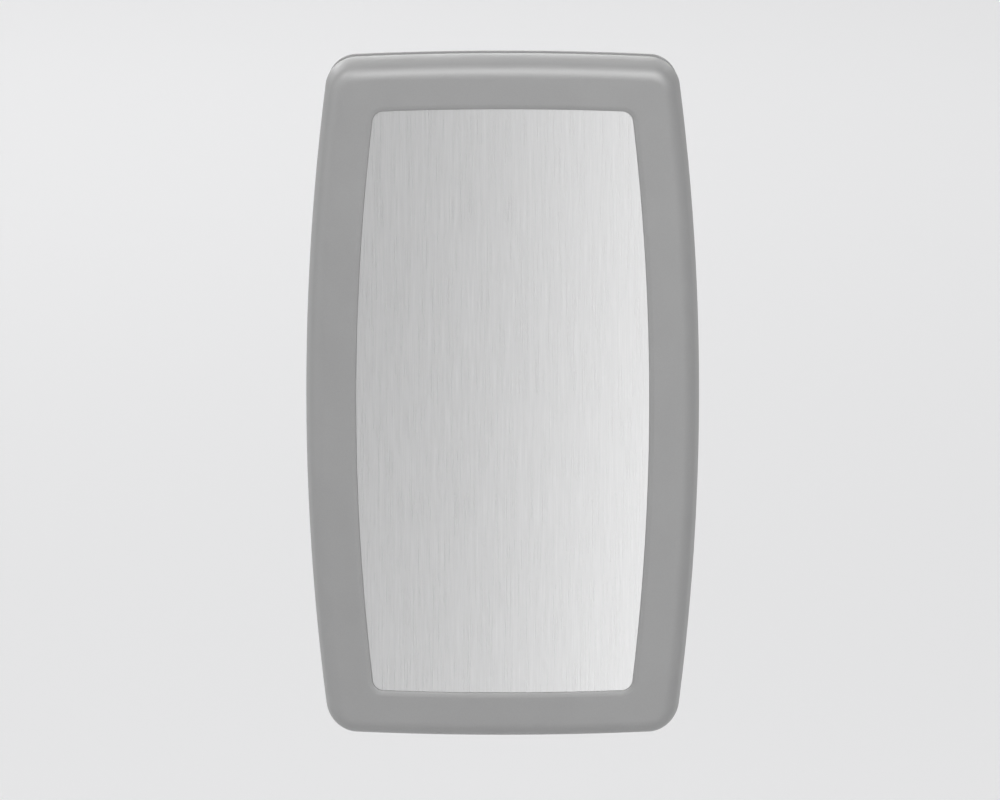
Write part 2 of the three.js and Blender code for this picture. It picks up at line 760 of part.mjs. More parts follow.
function mountingChassis() {
  const height = chassisTop - chassisBottom;
  const outline = roundedRectangle(2 * chassisHalf, height, chassisCorner, 0, chassisBottom + height / 2);
  const through = (radius, x, z, facets) => barY(radius, -chassisThickness - skim, skim, x, z, facets);
  const wallHoleX = chassisHalf - wallHoleInset;
  const wallHoleHeights = chassisHeights(wallHoleDrop, wallHoleMiddle, wallHoleLift);
  const lightHoleHeights = chassisHeights(lightHoleDrop, lightHoleMiddle, lightHoleLift);
  const plateHoles = sides.flatMap((side) => [
    ...lightHoleHeights.map((z) => through(lightHoleRadius, side * lightHoleX, z, roundSides)),
    ...wallHoleHeights.map((z) => through(wallHoleRadius, side * wallHoleX, z, smallSides)),
  ]);
  const plate = slabXZ(outline, 0, chassisThickness);
  const flangeFoot = hinge.y + chassisEarFoot;
  const flanges = sides.map((side) =>
    block(
      span(side * chassisHalf, side * (chassisHalf - chassisThickness)),
      [-chassisThickness - chassisFlange, 0],
      [flangeFoot, chassisTop - chassisCorner],
    ),
  );
  const root = -chassisThickness / 2;
  const hingeEars = ears.map(({ chassisX }) =>
    slabYZ(earShape(chassisEarRadius, root, chassisEarFoot), chassisX, earThickness),
  );
  const rodHole = holeFor(rodRadius, seatGap);
  const earHoles = barX(rodHole, -rodReach, rodReach, ...hinge);
  const posts = postPlaces.map(([x, z]) =>
    barY(postRadius, shellPanelBackY + seatGap, root, x, z, smallSides),
  );
  const bores = postPlaces.map(([x, z]) => {
    const bore = holeFor(shellScrewRadius, seatGap, smallSides);
    return barY(bore, shellPanelBackY - skim, shellPanelBackY + shellScrewLength, x, z, smallSides);
  });
  const lugs = sides.map((side) => {
    const lug = new THREE.Shape();
    lug.moveTo(root, anchor.y - eyeRadius);
    lug.lineTo(anchor.x, anchor.y - eyeRadius);
    lug.absarc(anchor.x, anchor.y, eyeRadius, -Math.PI / 2, Math.PI / 2, true);
    lug.lineTo(root, anchor.y + eyeRadius);
    lug.closePath();
    return slabYZ(lug, side * (eyeWidth / 2 + runningGap + lugThickness / 2), lugThickness);
  });
  const lugEnd = eyeWidth / 2 + runningGap + lugThickness + skim;
  const lugHole = barX(holeFor(pinRadius, seatGap), -lugEnd, lugEnd, ...anchor);
  const body = join(plate, ...flanges, ...hingeEars, ...posts, ...lugs);
  return cut(body, earHoles, lugHole, ...bores, ...plateHoles);
}

// Liner pocket and its cover, which share the pocket's place on the wall shell
const binBackY = shellPanelY - seatGap;
const binFrontY = binBackY - binWall;
const binRim = 2 * (binWall + binFlange);
const binFace = (x) => roundedRectangle(binWidth + binRim, binHeight + binRim, binCorner, x, binZ);

function linerBin(x) {
  const flange = slabXZ(binFace(x), binBackY, binWall);
  const wide = binWidth / 2 + binWall;
  const tall = binHeight / 2 + binWall;
  const deep = binFrontY + binDepth;
  const body = block([x - wide, x + wide], [binFrontY, deep + binWall], [binZ - tall, binZ + tall]);
  const hollow = block(
    [x - binWidth / 2, x + binWidth / 2],
    [binFrontY - skim, deep],
    [binZ - binHeight / 2, binZ + binHeight / 2],
  );
  return cut(join(flange, body), hollow);
}

function linerCover(x) {
  const backY = binFrontY - seatGap;
  const slot = roundedRectangle(slotLength, slotWidth, slotWidth / 2 - seatGap, x, binZ);
  const lipWide = binWidth / 2 - seatGap;
  const lipTall = binHeight / 2 - seatGap;
  const lip = block(
    [x - lipWide, x + lipWide],
    [backY - coverThickness / 2, backY + coverLip],
    [binZ - lipTall, binZ + lipTall],
  );
  const inside = block(
    [x - lipWide + binWall, x + lipWide - binWall],
    [backY, backY + coverLip + skim],
    [binZ - lipTall + binWall, binZ + lipTall - binWall],
  );
  const plate = slabXZ(binFace(x), backY, coverThickness);
  return cut(join(plate, cut(lip, inside)), slabXZ(slot, backY + skim, coverThickness + 2 * skim));
}

// Bag hook: a J drawn in y and z on a small plate, with a stud through the wall shell
const hookZ = topZ - hookDrop;

function bagHook(x) {
  const backY = shellPanelY - seatGap;
  const legY = backY - hookThickness;
  const bendY = legY - hookGap / 2;
  const bendZ = hookZ - hookRise / 2;
  const outer = hookGap / 2 + hookThickness;
  const tipY = bendY - hookGap / 2 - hookThickness / 2;
  const profile = new THREE.Shape();
  profile.moveTo(legY, hookZ + hookRise / 2);
  profile.lineTo(legY, bendZ);
  profile.absarc(bendY, bendZ, hookGap / 2, 0, Math.PI, true);
  profile.lineTo(bendY - hookGap / 2, bendZ + hookTip);
  profile.absarc(tipY, bendZ + hookTip, hookThickness / 2, 0, Math.PI);
  profile.lineTo(bendY - outer, bendZ);
  profile.absarc(bendY, bendZ, outer, Math.PI, Math.PI * 2);
  profile.lineTo(backY, hookZ + hookRise / 2);
  profile.closePath();
  const plateHeight = hookRise + 2 * outer;
  const plate = roundedRectangle(hookPlateWidth, plateHeight, hookPlateCorner, x, hookZ - outer / 2);
  const studFrontY = backY - hookPlateThickness / 2;
  const studEndY = shellPanelBackY + hookStudRadius;
  return join(
    slabYZ(profile, x, hookWidth),
    slabXZ(plate, backY, hookPlateThickness),
    barY(hookStudRadius, studFrontY, studEndY, x, hookZ, smallSides),
  );
}

// Turned pieces, drawn as radius and distance along +Y and closed on the axis
function turned(profile, segments = smallSides) {
  const points = profile.map(([radius, along]) => new THREE.Vector2(radius, along));
  return new THREE.LatheGeometry(points, segments);
}

function screw(radius, length, headRadius, headHeight) {
  return turned([
    [0, -headHeight],
    [headRadius - headBevel, -headHeight],
    [headRadius, -headHeight + headBevel],
    [headRadius, 0],
    [radius, 0],
    [radius, length],
    [0, length],
  ]);
}

function bumper() {
  const height = heelGap - 2 * seatGap;
  return turned([
    [0, -height],
    [bumperRadius - headBevel, -height],
    [bumperRadius, -height + headBevel],
    [bumperRadius, 0],
    [bumperStemRadius, 0],
    [bumperStemRadius, bumperStem],
    [0, bumperStem],
  ]);
}

function pin(reach) {
  const profile = [
    [0, -reach - pinHead],
    [pinHeadRadius, -reach - pinHead],
    [pinHeadRadius, -reach],
    [pinRadius, -reach],
    [pinRadius, reach + pinHead],
    [0, reach + pinHead],
  ];
  return turned(profile, roundSides).rotateZ(-Math.PI / 2);
}

function ringX(innerRadius, outerRadius, thickness) {
  const half = thickness / 2;
  return turned(
    [
      [innerRadius, -half],
      [outerRadius, -half],
      [outerRadius, half],
      [innerRadius, half],
      [innerRadius, -half],
    ],
    roundSides,
  ).rotateZ(-Math.PI / 2);
}

// Flanged bush with its flange towards +X
function bush() {
  const bore = holeFor(rodRadius, seatGap);
  return turned(
    [
      [bore, -earThickness / 2],
      [bore + bushWall, -earThickness / 2],
      [bore + bushWall, earThickness / 2 + seatGap],
      [bushFlangeRadius, earThickness / 2 + seatGap],
      [bushFlangeRadius, earThickness / 2 + seatGap + bushFlange],
      [bore, earThickness / 2 + seatGap + bushFlange],
      [bore, -earThickness / 2],
    ],
    roundSides,
  ).rotateZ(-Math.PI / 2);
}

// Strut pieces, drawn hanging from the eye's axis along -Z
function strutBarrel() {
  const top = -eyeNeck;
  const bore = barrelRadius - barrelWall;
  return turned(
    [
      [0, top - barrelEnd],
      [bore, top - barrelEnd],
      [bore, top - barrelLength],
      [barrelRadius, top - barrelLength],
      [barrelRadius, top],
      [0, top],
    ],
    roundSides,
  ).rotateX(Math.PI / 2);
}

function strutEye(neckRadius) {
  const eye = barX(eyeRadius, -eyeWidth / 2, eyeWidth / 2, 0, 0);
  const neck = barZ(neckRadius, -eyeNeck + seatGap, 0, 0, 0);
  const hole = barX(holeFor(pinRadius, seatGap), -eyeWidth, eyeWidth, 0, 0);
  return cut(join(eye, neck), hole);
}

// Strap: a band that loops the buckle's bar, lies along the tray, dips through the slot in its side
// and loops the anchor's bar
const sideMouthX = sideX(mouthOutline, strapZ);
const strapOffset = seatGap + strapThickness / 2;
const trayPoint = (step) =>
  new THREE.Vector2(sideMouthX - (traySideSlope * step) / traySteps, trayY(step / traySteps));
const strapSteps = traySteps - strapSlotStep;
const traySide = Array.from({ length: strapSteps + 1 }, (_, i) => trayPoint(traySteps - i));
const strapLine = offsetPath([new THREE.Vector2(0, trayY(1)), ...traySide], strapOffset).slice(1);
const strapSlot = strapLine[strapLine.length - 1];
const strapFloorY = trayY(1) + strapOffset;
const loopRadius = (bar) => holeFor(bar, seatGap) + strapThickness / 2;
const buckleBarY = strapFloorY + loopRadius(buckleBarRadius);
const anchorWall = bedWall + crownInset(strapSlot.y - anchorBarRadius) + anchorSlack;
const anchorX = sideX(inset(caseOutline, anchorWall), strapZ) - anchorReach;

// A path moved sideways to its left, with mitred corners
function offsetPath(path, distance) {
  const normals = path.slice(1).map((point, i) => {
    const along = point.clone().sub(path[i]).normalize();
    return new THREE.Vector2(-along.y, along.x);
  });
  return path.map((point, i) => {
    const before = normals[Math.max(i - 1, 0)];
    const after = normals[Math.min(i, normals.length - 1)];
    const mitre = before.clone().add(after).divideScalar(1 + before.dot(after));
    return point.clone().addScaledVector(mitre, distance);
  });
}

function strap(side, buckleBarX) {
  const path = [
    new THREE.Vector2(buckleBarX, strapFloorY),
    ...strapLine,
    new THREE.Vector2(anchorX - loopRadius(anchorBarRadius), strapSlot.y),
  ];
  const half = strapThickness / 2;
  const band = new THREE.Shape([...offsetPath(path, -half), ...offsetPath(path, half).reverse()]);
  const low = strapZ - strapWidth / 2;
  const flat = solid(extrude(band, strapWidth).translate(0, 0, low));
  const loop = (bar, x, y) => {
    const outside = barZ(loopRadius(bar) + strapThickness / 2, low, low + strapWidth, x, y);
    return [outside, barZ(holeFor(bar, seatGap), low - skim, low + strapWidth + skim, x, y)];
  };
  const [buckleLoop, buckleHole] = loop(buckleBarRadius, buckleBarX, buckleBarY);
  const [anchorLoop, anchorHole] = loop(anchorBarRadius, anchorX, strapSlot.y);
  const body = cut(join(flat, buckleLoop, anchorLoop), buckleHole, anchorHole);
  return side < 0 ? body.mirror([1, 0, 0]) : body;
}

// Anchor: a bar on two arms whose feet lie against the inside of the bed shell
function strapAnchor(side) {
  const y = strapSlot.y;
  const wallX = anchorX + anchorReach - seatGap;
  const half = strapWidth / 2 + runningGap;
  const bar = barZ(anchorBarRadius, strapZ - half - anchorArm, strapZ + half + anchorArm, anchorX, y);
  const arms = sides.flatMap((end) => {
    const tall = [y - anchorBarRadius, y + anchorBarRadius];
    const away = (reach) => span(strapZ + end * half, strapZ + end * (half + reach));
    return [
      block([anchorX, wallX], tall, away(anchorArm)),
      block([wallX - anchorFootThickness, wallX], tall, away(anchorFoot)),
    ];
  });
  const body = join(bar, ...arms);
  return side < 0 ? body.mirror([1, 0, 0]) : body;
}

// Buckle halves, with the joint between them at x = 0
const buckleMidY = trayY(1) + seatGap + buckleThickness / 2;
const socketBarX = -socketLength - buckleBarReach;
const tongueBarX = seatGap + tongueLength + buckleBarReach;

function buckleEnd(bodyEnd, barEnd) {
  const [from, to] = span(bodyEnd, barEnd);
  const half = strapWidth / 2 + runningGap;
  const barHalf = half + buckleWall / 2;
  const bar = barZ(buckleBarRadius, strapZ - barHalf, strapZ + barHalf, barEnd, buckleBarY);
  const arms = sides.map((end) =>
    block(
      [from - buckleBarRadius, to + buckleBarRadius],
      [buckleBarY - buckleBarRadius, buckleBarY + buckleBarRadius],
      span(strapZ + end * half, strapZ + (end * buckleWidth) / 2),
    ),
  );
  return join(bar, ...arms);
}

function buckleBody(from, to) {
  const shape = roundedRectangle(to - from, buckleWidth, buckleCorner, (from + to) / 2, strapZ);
  return slabXZ(shape, buckleMidY + buckleThickness / 2, buckleThickness);
}

const prongRows = [-1, 0, 1].map((row) => row * (buckleWidth / 2 - buckleWall - prongWidth));

function buckleSocket() {
  const half = buckleWidth / 2 - buckleWall;
  const gap = 2 * seatGap;
  const mouth = block(
    [-prongLength - gap, skim],
    [buckleMidY - prongThickness / 2 - gap, buckleMidY + prongThickness / 2 + gap],
    [strapZ - half, strapZ + half],
  );
  const window = block(
    [-prongLength + windowInset, -windowInset],
    [buckleMidY - prongThickness / 2 - gap, buckleMidY + prongThickness / 2 + gap],
    [strapZ - buckleWidth, strapZ + buckleWidth],
  );
  const body = join(buckleBody(-socketLength, 0), buckleEnd(-socketLength, socketBarX));
  return cut(body, mouth, window);
}

function buckleTongue() {
  const prongs = prongRows.map((row) =>
    block(
      [-prongLength, seatGap + buckleCorner],
      [buckleMidY - prongThickness / 2, buckleMidY + prongThickness / 2],
      [strapZ + row - prongWidth / 2, strapZ + row + prongWidth / 2],
    ),
  );
  const end = seatGap + tongueLength;
  return join(buckleBody(seatGap, end), buckleEnd(end, tongueBarX), ...prongs);
}

// Wall unit
const wallUnit = new THREE.Group();
wallUnit.add(piece("mounting_chassis", mountingChassis(), platedSteel()));
wallUnit.add(piece("wall_shell", wallShell(), greyMoulding()));
for (const side of sides) {
  wallUnit.add(piece(`liner_bin_${sideName(side)}`, linerBin(side * binX), greyMoulding()));
  wallUnit.add(piece(`liner_cover_${sideName(side)}`, linerCover(side * binX), greyMoulding()));
  wallUnit.add(piece(`bag_hook_${sideName(side)}`, bagHook(side * hookX), greyMoulding()));
  const clip = piece(
    `rod_clip_${sideName(side)}`,
    ringX(holeFor(rodRadius, seatGap), clipRadius, clipThickness),
    blackSteel(),
  );
  clip.position.set(side * (outerEarX + earThickness / 2 + seatGap + clipThickness / 2), ...hinge);
  wallUnit.add(clip);
  const heelZ = endZ(caseOutline, padX);
  const padFrontY = hinge.x + (heelZ + hinge.y) + padGap;
  const pad = barY(padRadius, padFrontY, heelBackY - seatGap, side * padX, hinge.y - padDrop);
  wallUnit.add(piece(`stop_pad_${sideName(side)}`, pad, blackRubber()));
}
wallUnit.add(piece("hinge_rod", barX(rodRadius, -rodReach, rodReach, ...hinge), platedSteel()));
postPlaces.forEach(([x, z], i) => {
  const body = screw(shellScrewRadius, shellScrewLength, shellScrewHead, shellScrewHeadHeight);
  const mesh = piece(`shell_screw_${i + 1}`, body, platedSteel());
  mesh.position.set(x, shellPanelY - seatGap, z);
  wallUnit.add(mesh);
});
bumperPlaces.forEach(([x, z], i) => {
  const mesh = piece(`bumper_${i + 1}`, bumper(), blackRubber());
  mesh.position.set(x, shellFrontY - seatGap, z);
  wallUnit.add(mesh);
});
const anchorPinReach = eyeWidth / 2 + runningGap + lugThickness + seatGap;
const anchorPin = piece("strut_anchor_pin", pin(anchorPinReach), platedSteel());
anchorPin.position.set(0, ...anchor);
wallUnit.add(anchorPin);

// Bed
const bed = new THREE.Group();
bed.add(piece("bed_shell", bedShell(), greyMoulding()));
bed.add(piece("steel_panel", steelPanel(), brushedSteel()));
bed.add(piece("bed_liner", bedLiner(), greyMoulding()));
bed.add(piece("bed_frame", bedFrame(), platedSteel()));
ears.forEach(({ bedX, flangeSide }, i) => {
  const mesh = piece(`hinge_bush_${i + 1}`, bush(), whitePlastic());
  mesh.position.set(bedX, ...hinge);
  mesh.rotation.z = flangeSide < 0 ? Math.PI : 0;
  bed.add(mesh);
});
bossPlaces.forEach(([x, z], i) => {
  const body = screw(linerScrewRadius, linerScrewLength, linerScrewHead, linerScrewHeadHeight);
  const mesh = piece(`liner_screw_${i + 1}`, body, platedSteel());
  mesh.position.set(x, bedRearY - linerScrewHeadHeight, z);
  mesh.rotation.x = Math.PI;
  bed.add(mesh);
});
for (const side of sides) {
  const barX0 = side < 0 ? -socketBarX : tongueBarX;
  bed.add(piece(`strap_${sideName(side)}`, strap(side, barX0), blackWebbing()));
  bed.add(piece(`strap_anchor_${sideName(side)}`, strapAnchor(side), platedSteel()));
}
bed.add(piece("buckle_socket", buckleSocket(), blackPlastic()));
const leverPin = piece("lever_pin", pin(leverReach + seatGap), platedSteel());
leverPin.position.set(0, ...leverRest);
bed.add(leverPin);

// Gas strut: the barrel hangs from the chassis and the rod stands on the bed's lever
const strutBarrelGroup = new THREE.Group();
strutBarrelGroup.position.set(0, ...anchor);
strutBarrelGroup.rotation.x = strutLean;
strutBarrelGroup.add(piece("barrel_eye", strutEye(barrelRadius / 2), platedSteel()));
strutBarrelGroup.add(piece("strut_barrel", strutBarrel(), blackSteel()));

const strutRodGroup = new THREE.Group();
strutRodGroup.position.set(0, ...leverRest);
strutRodGroup.rotation.x = strutLean + Math.PI;
const rodTop = strutLength - eyeNeck - barrelLength + strutOverlap;
strutRodGroup.add(piece("rod_eye", strutEye(strutRodRadius), platedSteel()));
strutRodGroup.add(piece("strut_rod", barZ(strutRodRadius, -rodTop, -eyeNeck, 0, 0), platedSteel()));

// The half of the buckle that pulls out along +X
const tongue = new THREE.Group();
tongue.add(piece("buckle_tongue", buckleTongue(), blackPlastic()));

const station = new THREE.Group();
station.add(wallUnit, bed, strutBarrelGroup, strutRodGroup, tongue);

export default station;
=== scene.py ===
import math
import bmesh
import bpy
from functools import partial
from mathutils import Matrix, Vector


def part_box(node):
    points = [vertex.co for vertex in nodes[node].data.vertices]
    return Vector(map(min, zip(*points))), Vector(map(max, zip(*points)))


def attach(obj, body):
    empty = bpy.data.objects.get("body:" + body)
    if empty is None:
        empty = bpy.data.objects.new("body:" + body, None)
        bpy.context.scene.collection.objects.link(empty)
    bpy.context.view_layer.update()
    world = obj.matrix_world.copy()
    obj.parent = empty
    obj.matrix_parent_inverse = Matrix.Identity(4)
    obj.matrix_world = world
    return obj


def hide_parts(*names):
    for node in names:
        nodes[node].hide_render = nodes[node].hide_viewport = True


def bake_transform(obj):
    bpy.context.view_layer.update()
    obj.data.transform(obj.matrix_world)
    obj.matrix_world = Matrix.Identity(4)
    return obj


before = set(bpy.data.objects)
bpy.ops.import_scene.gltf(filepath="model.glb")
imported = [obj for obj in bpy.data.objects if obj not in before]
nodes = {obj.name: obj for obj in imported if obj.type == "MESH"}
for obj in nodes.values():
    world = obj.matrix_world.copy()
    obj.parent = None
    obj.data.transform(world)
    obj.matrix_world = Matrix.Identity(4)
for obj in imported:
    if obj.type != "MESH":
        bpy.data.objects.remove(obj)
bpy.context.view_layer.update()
scene = bpy.context.scene
scene.view_settings.view_transform = "Standard"
mm = 0.001


def addObject(name, data):
    made = bpy.data.objects.new(name, data)
    scene.collection.objects.link(made)
    return made


# camera: a long lens, looking a little down on the closed station
view = {"tilt": 13.0, "distance": 40.0, "frameWidth": 1.3726, "aim": (-0.0037, -0.102, 0.0031),
        "sensor": 36, "clipEnd": 200}
tilt = math.radians(view["tilt"])
towardsCamera = Vector((0, -math.cos(tilt), math.sin(tilt)))
cameraData = bpy.data.cameras.new("camera")
cameraData.sensor_width = view["sensor"]
cameraData.lens = view["sensor"] * view["distance"] / view["frameWidth"]
cameraData.clip_end = view["clipEnd"]
camera = addObject("camera", cameraData)
camera.location = Vector(view["aim"]) + towardsCamera * view["distance"]
camera.rotation_euler = towardsCamera.to_track_quat("Z", "Y").to_euler()
scene.camera = camera


def linear(hexColour):
    channels = [int(hexColour[i:i + 2], 16) / 255 for i in (1, 3, 5)]
    return [c / 12.92 if c <= 0.04045 else ((c + 0.055) / 1.055) ** 2.4 for c in channels] + [1.0]


# adds a node: settings go to its own fields where it has them and otherwise to its sockets; a link comes
# from a socket, or from the first output of a node
def addNode(tree, kind, settings=None, links=None):
    node = tree.nodes.new(kind)
    for key, value in (settings or {}).items():
        if isinstance(key, str) and hasattr(node, key):
            setattr(node, key, value)
        else:
            node.inputs[key].default_value = value
    for key, source in (links or {}).items():
        socket = source.outputs[0] if isinstance(source, bpy.types.Node) else source
        tree.links.new(socket, node.inputs[key])
    return node


def newFinish(name):
    finish = bpy.data.materials.new(name)
    finish.use_nodes = True
    finish.node_tree.nodes.clear()
    add = partial(addNode, finish.node_tree)
    return finish, add, add("ShaderNodeTexCoord").outputs


# closes a finish: what is even all over is set on its shader, and its patterns are linked to it
def coat(add, even, patterns):
    surface = add("ShaderNodeBsdfPrincipled", even, patterns)
    add("ShaderNodeOutputMaterial", links={"Surface": surface})


# light: a pale room with softboxes round it; a card shows only as a reflection, in the round edge, the
# corners and the steel, and a fill never does; what the camera and reflections see of the room is as pale
# as a tiled wall, and reflections find it darker towards the right
light = {
    "room": "#F6F6F6", "roomGlow": 0.67, "seenGlow": 1.0, "darkSide": 0.5, "darkFrom": 0.15, "darkTo": 0.6,
    "boxes": {  # what it gives, glow, size, place and aim, in metres
        "front": ("fill", 3.1, (2.6, 2.2), (-0.3, -2.4, 3.2), (0, 0, 0)),
        "edge": ("card", 6.8, (3.6, 3.0), (1.1, -2.4, 3.2), (0.4, 0, 0)),
        "right": ("card", 0.93, (1.2, 1.6), (0.7, -1.5, -0.35), (0.7, 0, -0.1)),
        "left": ("both", 1.3, (1.0, 2.0), (-2.4, -1.1, 0.5), (0, 0, 0)),
        "fill": ("fill", 0.75, (1.0, 2.0), (2.4, -1.1, 0.2), (0, 0, 0)),
        "back": ("both", 1.9, (6.0, 2.4), (-2.0, 9.0, 2.55), (-2.0, 0, 0.47)),
        "rear": ("card", 3.4, (2.8, 1.6), (-0.2, 8.9, 2.35), (-0.2, 0, 0.47)),
        "cornerBack": ("card", 8.0, (1.4, 1.4), (-3.3, 8.8, 2.2), (-0.2, 0, 0.4)),
        "cornerRight": ("card", 3.5, (1.4, 1.4), (2.9, 8.8, 2.2), (0.2, 0, 0.4)),
        "cornerLeft": ("card", 30.0, (0.7, 0.7), (-1.8, -0.9, 2.85), (-0.2, 0, 0.4)),
    },
}


# strength of a glow, which changes where the camera or a reflection sees it
def liftSeen(add, plain, seen):
    path = add("ShaderNodeLightPath").outputs
    either = add("ShaderNodeMath", {"operation": "MAXIMUM"},
                 {0: path["Is Camera Ray"], 1: path["Is Glossy Ray"]})
    return add("ShaderNodeMath", {"operation": "MULTIPLY_ADD", 1: seen - plain, 2: plain}, {0: either})


# reflections lose brightness from straight behind towards the right
def shadeRight(add, glow):
    glossy = add("ShaderNodeLightPath").outputs["Is Glossy Ray"]
    rightward = add("ShaderNodeSeparateXYZ", links={"Vector": add("ShaderNodeTexCoord")}).outputs["X"]
    fade = {"interpolation_type": "SMOOTHSTEP", "From Min": light["darkFrom"], "From Max": light["darkTo"],
            "To Min": 1.0, "To Max": light["darkSide"]}
    keep = add("ShaderNodeMapRange", fade, {"Value": rightward})
    share = add("ShaderNodeMix", {"data_type": "FLOAT", 2: 1.0}, {"Factor": glossy, 3: keep})
    return add("ShaderNodeMath", {"operation": "MULTIPLY"}, {0: glow, 1: share})


world = bpy.data.worlds.new("room")
world.use_nodes = True
room = world.node_tree
backdrop = room.nodes["Background"].inputs
backdrop["Color"].default_value = linear(light["room"])
addToRoom = partial(addNode, room)
roomGlow = shadeRight(addToRoom, liftSeen(addToRoom, light["roomGlow"], light["seenGlow"]))
room.links.new(roomGlow.outputs["Value"], backdrop["Strength"])
scene.world = world
for boxName, (gives, glow, size, place, aim) in light["boxes"].items():
    lamp = bpy.data.lights.new(boxName + "Softbox", "AREA")
    lamp.shape = "RECTANGLE"
    lamp.size, lamp.size_y = size
    lamp.energy = glow * math.pi * lamp.size * lamp.size_y
    lampObject = addObject(lamp.name, lamp)
    lampObject.location = place
    facing = Vector(place) - Vector(aim)
    lampObject.rotation_euler = facing.to_track_quat("Z", "Y").to_euler()
    lampObject.visible_camera = False
    lampObject.visible_diffuse = gives != "card"
    lampObject.visible_glossy = gives != "fill"

# floor: plain and pale, well below the station
floorLook = {"height": -1.2, "reach": 60, "colour": "#EEEEEF", "seenGlow": 0.1, "rough": 0.9}
floorFinish, addToFloor = newFinish("paleFloor")[:2]
pale = linear(floorLook["colour"])
coat(addToFloor, {"Base Color": pale, "Emission Color": pale, "Roughness": floorLook["rough"]},
     {"Emission Strength": liftSeen(addToFloor, 0, floorLook["seenGlow"])})
floorMesh = bpy.data.meshes.new("floor")
corners = [(-1, -1), (1, -1), (1, 1), (-1, 1)]
reach = floorLook["reach"]
floorMesh.from_pydata([(x * reach, y * reach, floorLook["height"]) for x, y in corners], [], [(0, 1, 2, 3)])
floorMesh.materials.append(floorFinish)
floor = addObject("floor", floorMesh)
print("stage: camera, light and floor")

noiseLow, noiseHigh = 0.3, 0.7  # most values of a noise lie between these


# finishes of a broad and a fine noise: both tint the base, the broad one or both change the gloss, and the
# fine one is the grain of the skin; cells, along X, Y and Z, and depth of the grain are in millimetres
def grained(name, look, even):
    finish, add, place = newFinish(name)
    noises = []
    for cell, detail in zip(look["cells"], look["details"]):
        scale = [1 / (size * mm) for size in cell]
        stretch = add("ShaderNodeMapping", {"Scale": scale}, {"Vector": place["Object"]})
        noises.append(add("ShaderNodeTexNoise", {"Scale": 1.0, "Detail": detail}, {"Vector": stretch}))
    broad, fine = noises
    both = add("ShaderNodeMix", {"data_type": "FLOAT", "Factor": look["fineShare"]}, {2: broad, 3: fine})
    tint = add("ShaderNodeValToRGB", links={"Fac": both})
    for stop, position, tone in zip(tint.color_ramp.elements, (noiseLow, noiseHigh), look["tones"]):
        stop.position = position
        stop.color = tone
    low, high = look["rough"]
    limits = {"From Min": noiseLow, "From Max": noiseHigh, "To Min": low, "To Max": high}
    dull = add("ShaderNodeMapRange", limits, {"Value": both if look["fineGloss"] else broad})
    bump = add("ShaderNodeBump", {"Strength": look["bump"], "Distance": look["depth"] * mm}, {"Height": fine})
    patterns = {"Base Color": tint, "Roughness": dull, "Normal": bump}
    if look["brushed"]:
        patterns["Tangent"] = add("ShaderNodeTangent", {"direction_type": "RADIAL", "axis": "Z"})
    coat(add, even, patterns)
    return finish


# most of them: tone and gloss drift in patches over an even grain
mottle = {"details": (3.0, 2.0), "fineShare": 0.55, "fineGloss": False, "bump": 0.4, "brushed": False}
glossDrift = 0.07


def mottled(name, colour, drift, patch, grain, depth, rough, **even):
    base = linear(colour)[:3]
    tones = [[c * share for c in base] + [1] for share in (1 - drift, 1 + drift)]
    gloss = [rough * share for share in (1 - glossDrift, 1 + glossDrift)]
    cells = ((patch, patch, patch), (grain, grain, grain))
    return grained(name, {**mottle, "cells": cells, "tones": tones, "rough": gloss, "depth": depth}, even)


# moulded polyethylene: a satin grey skin; its sand grain is drawn at 1.6 mm, coarser than life, to show
greyMoulding = mottled("greyPolyethylene", "#989898", 0.04, 70, 1.6, 0.22, 0.46, IOR=1.5)
# zinc plate: bright and a little clouded
zincPlate = mottled("zincPlate", "#B4B6B8", 0.12, 9, 1.2, 0.05, 0.34, Metallic=1.0)
# black enamel: an even satin coat with faint orange peel
blackEnamel = mottled("blackEnamel", "#1C1D1F", 0.1, 30, 2.0, 0.05, 0.32)
# natural rubber: matt black with a bloom
blackRubber = mottled("blackRubber", "#1B1B1C", 0.25, 6, 0.9, 0.1, 0.78)
# acetal: dense satin black moulding
acetal = mottled("blackAcetal", "#17181A", 0.08, 20, 1.0, 0.05, 0.38, IOR=1.48)
# natural nylon: milky, slightly translucent to the eye
nylon = mottled("naturalNylon", "#E4E1D6", 0.03, 12, 1.0, 0.04, 0.42, IOR=1.53)
# bonded polyester thread: round, tight and slightly shiny
thread = mottled("polyesterThread", "#808286", 0.2, 1.5, 0.6, 0.05, 0.55)

# stainless veneer: long upright brush lines that spread reflections sideways; real lines are near 0.1 mm
# wide, too fine to show
brushing = {"cells": ((4.5, math.inf, 220), (1.1, math.inf, 60)), "details": (3.0, 3.0), "fineShare": 0.65,
            "tones": (linear("#C3C3C3"), linear("#D1D1D1")), "rough": (0.265, 0.295), "fineGloss": True,
            "bump": 0.08, "depth": 0.05, "brushed": True}
veneerFinish = grained("brushedStainless", brushing, {"Metallic": 1.0, "Anisotropic": 0.5})

# galvanised sheet: dull zinc in crystals some 9 mm wide, each with its own tone
zincCrystals = {"width": 9, "tones": ("#A9ACAE", "#BFC2C4"), "roughLow": 0.4, "roughHigh": 0.55}


def galvanised():
    z = zincCrystals
    finish, add, place = newFinish("galvanisedSteel")
    crystals = add("ShaderNodeTexVoronoi", {"Scale": 1 / (z["width"] * mm)}, {"Vector": place["Object"]})
    tone = add("ShaderNodeSeparateColor", links={"Color": crystals.outputs["Color"]}).outputs["Red"]
    tint = add("ShaderNodeValToRGB", links={"Fac": tone})
    for stop, colour in zip(tint.color_ramp.elements, z["tones"]):
        stop.color = linear(colour)
    dull = add("ShaderNodeMapRange", {"To Min": z["roughLow"], "To Max": z["roughHigh"]}, {"Value": tone})
    coat(add, {"Metallic": 1.0}, {"Base Color": tint, "Roughness": dull})
    return finish


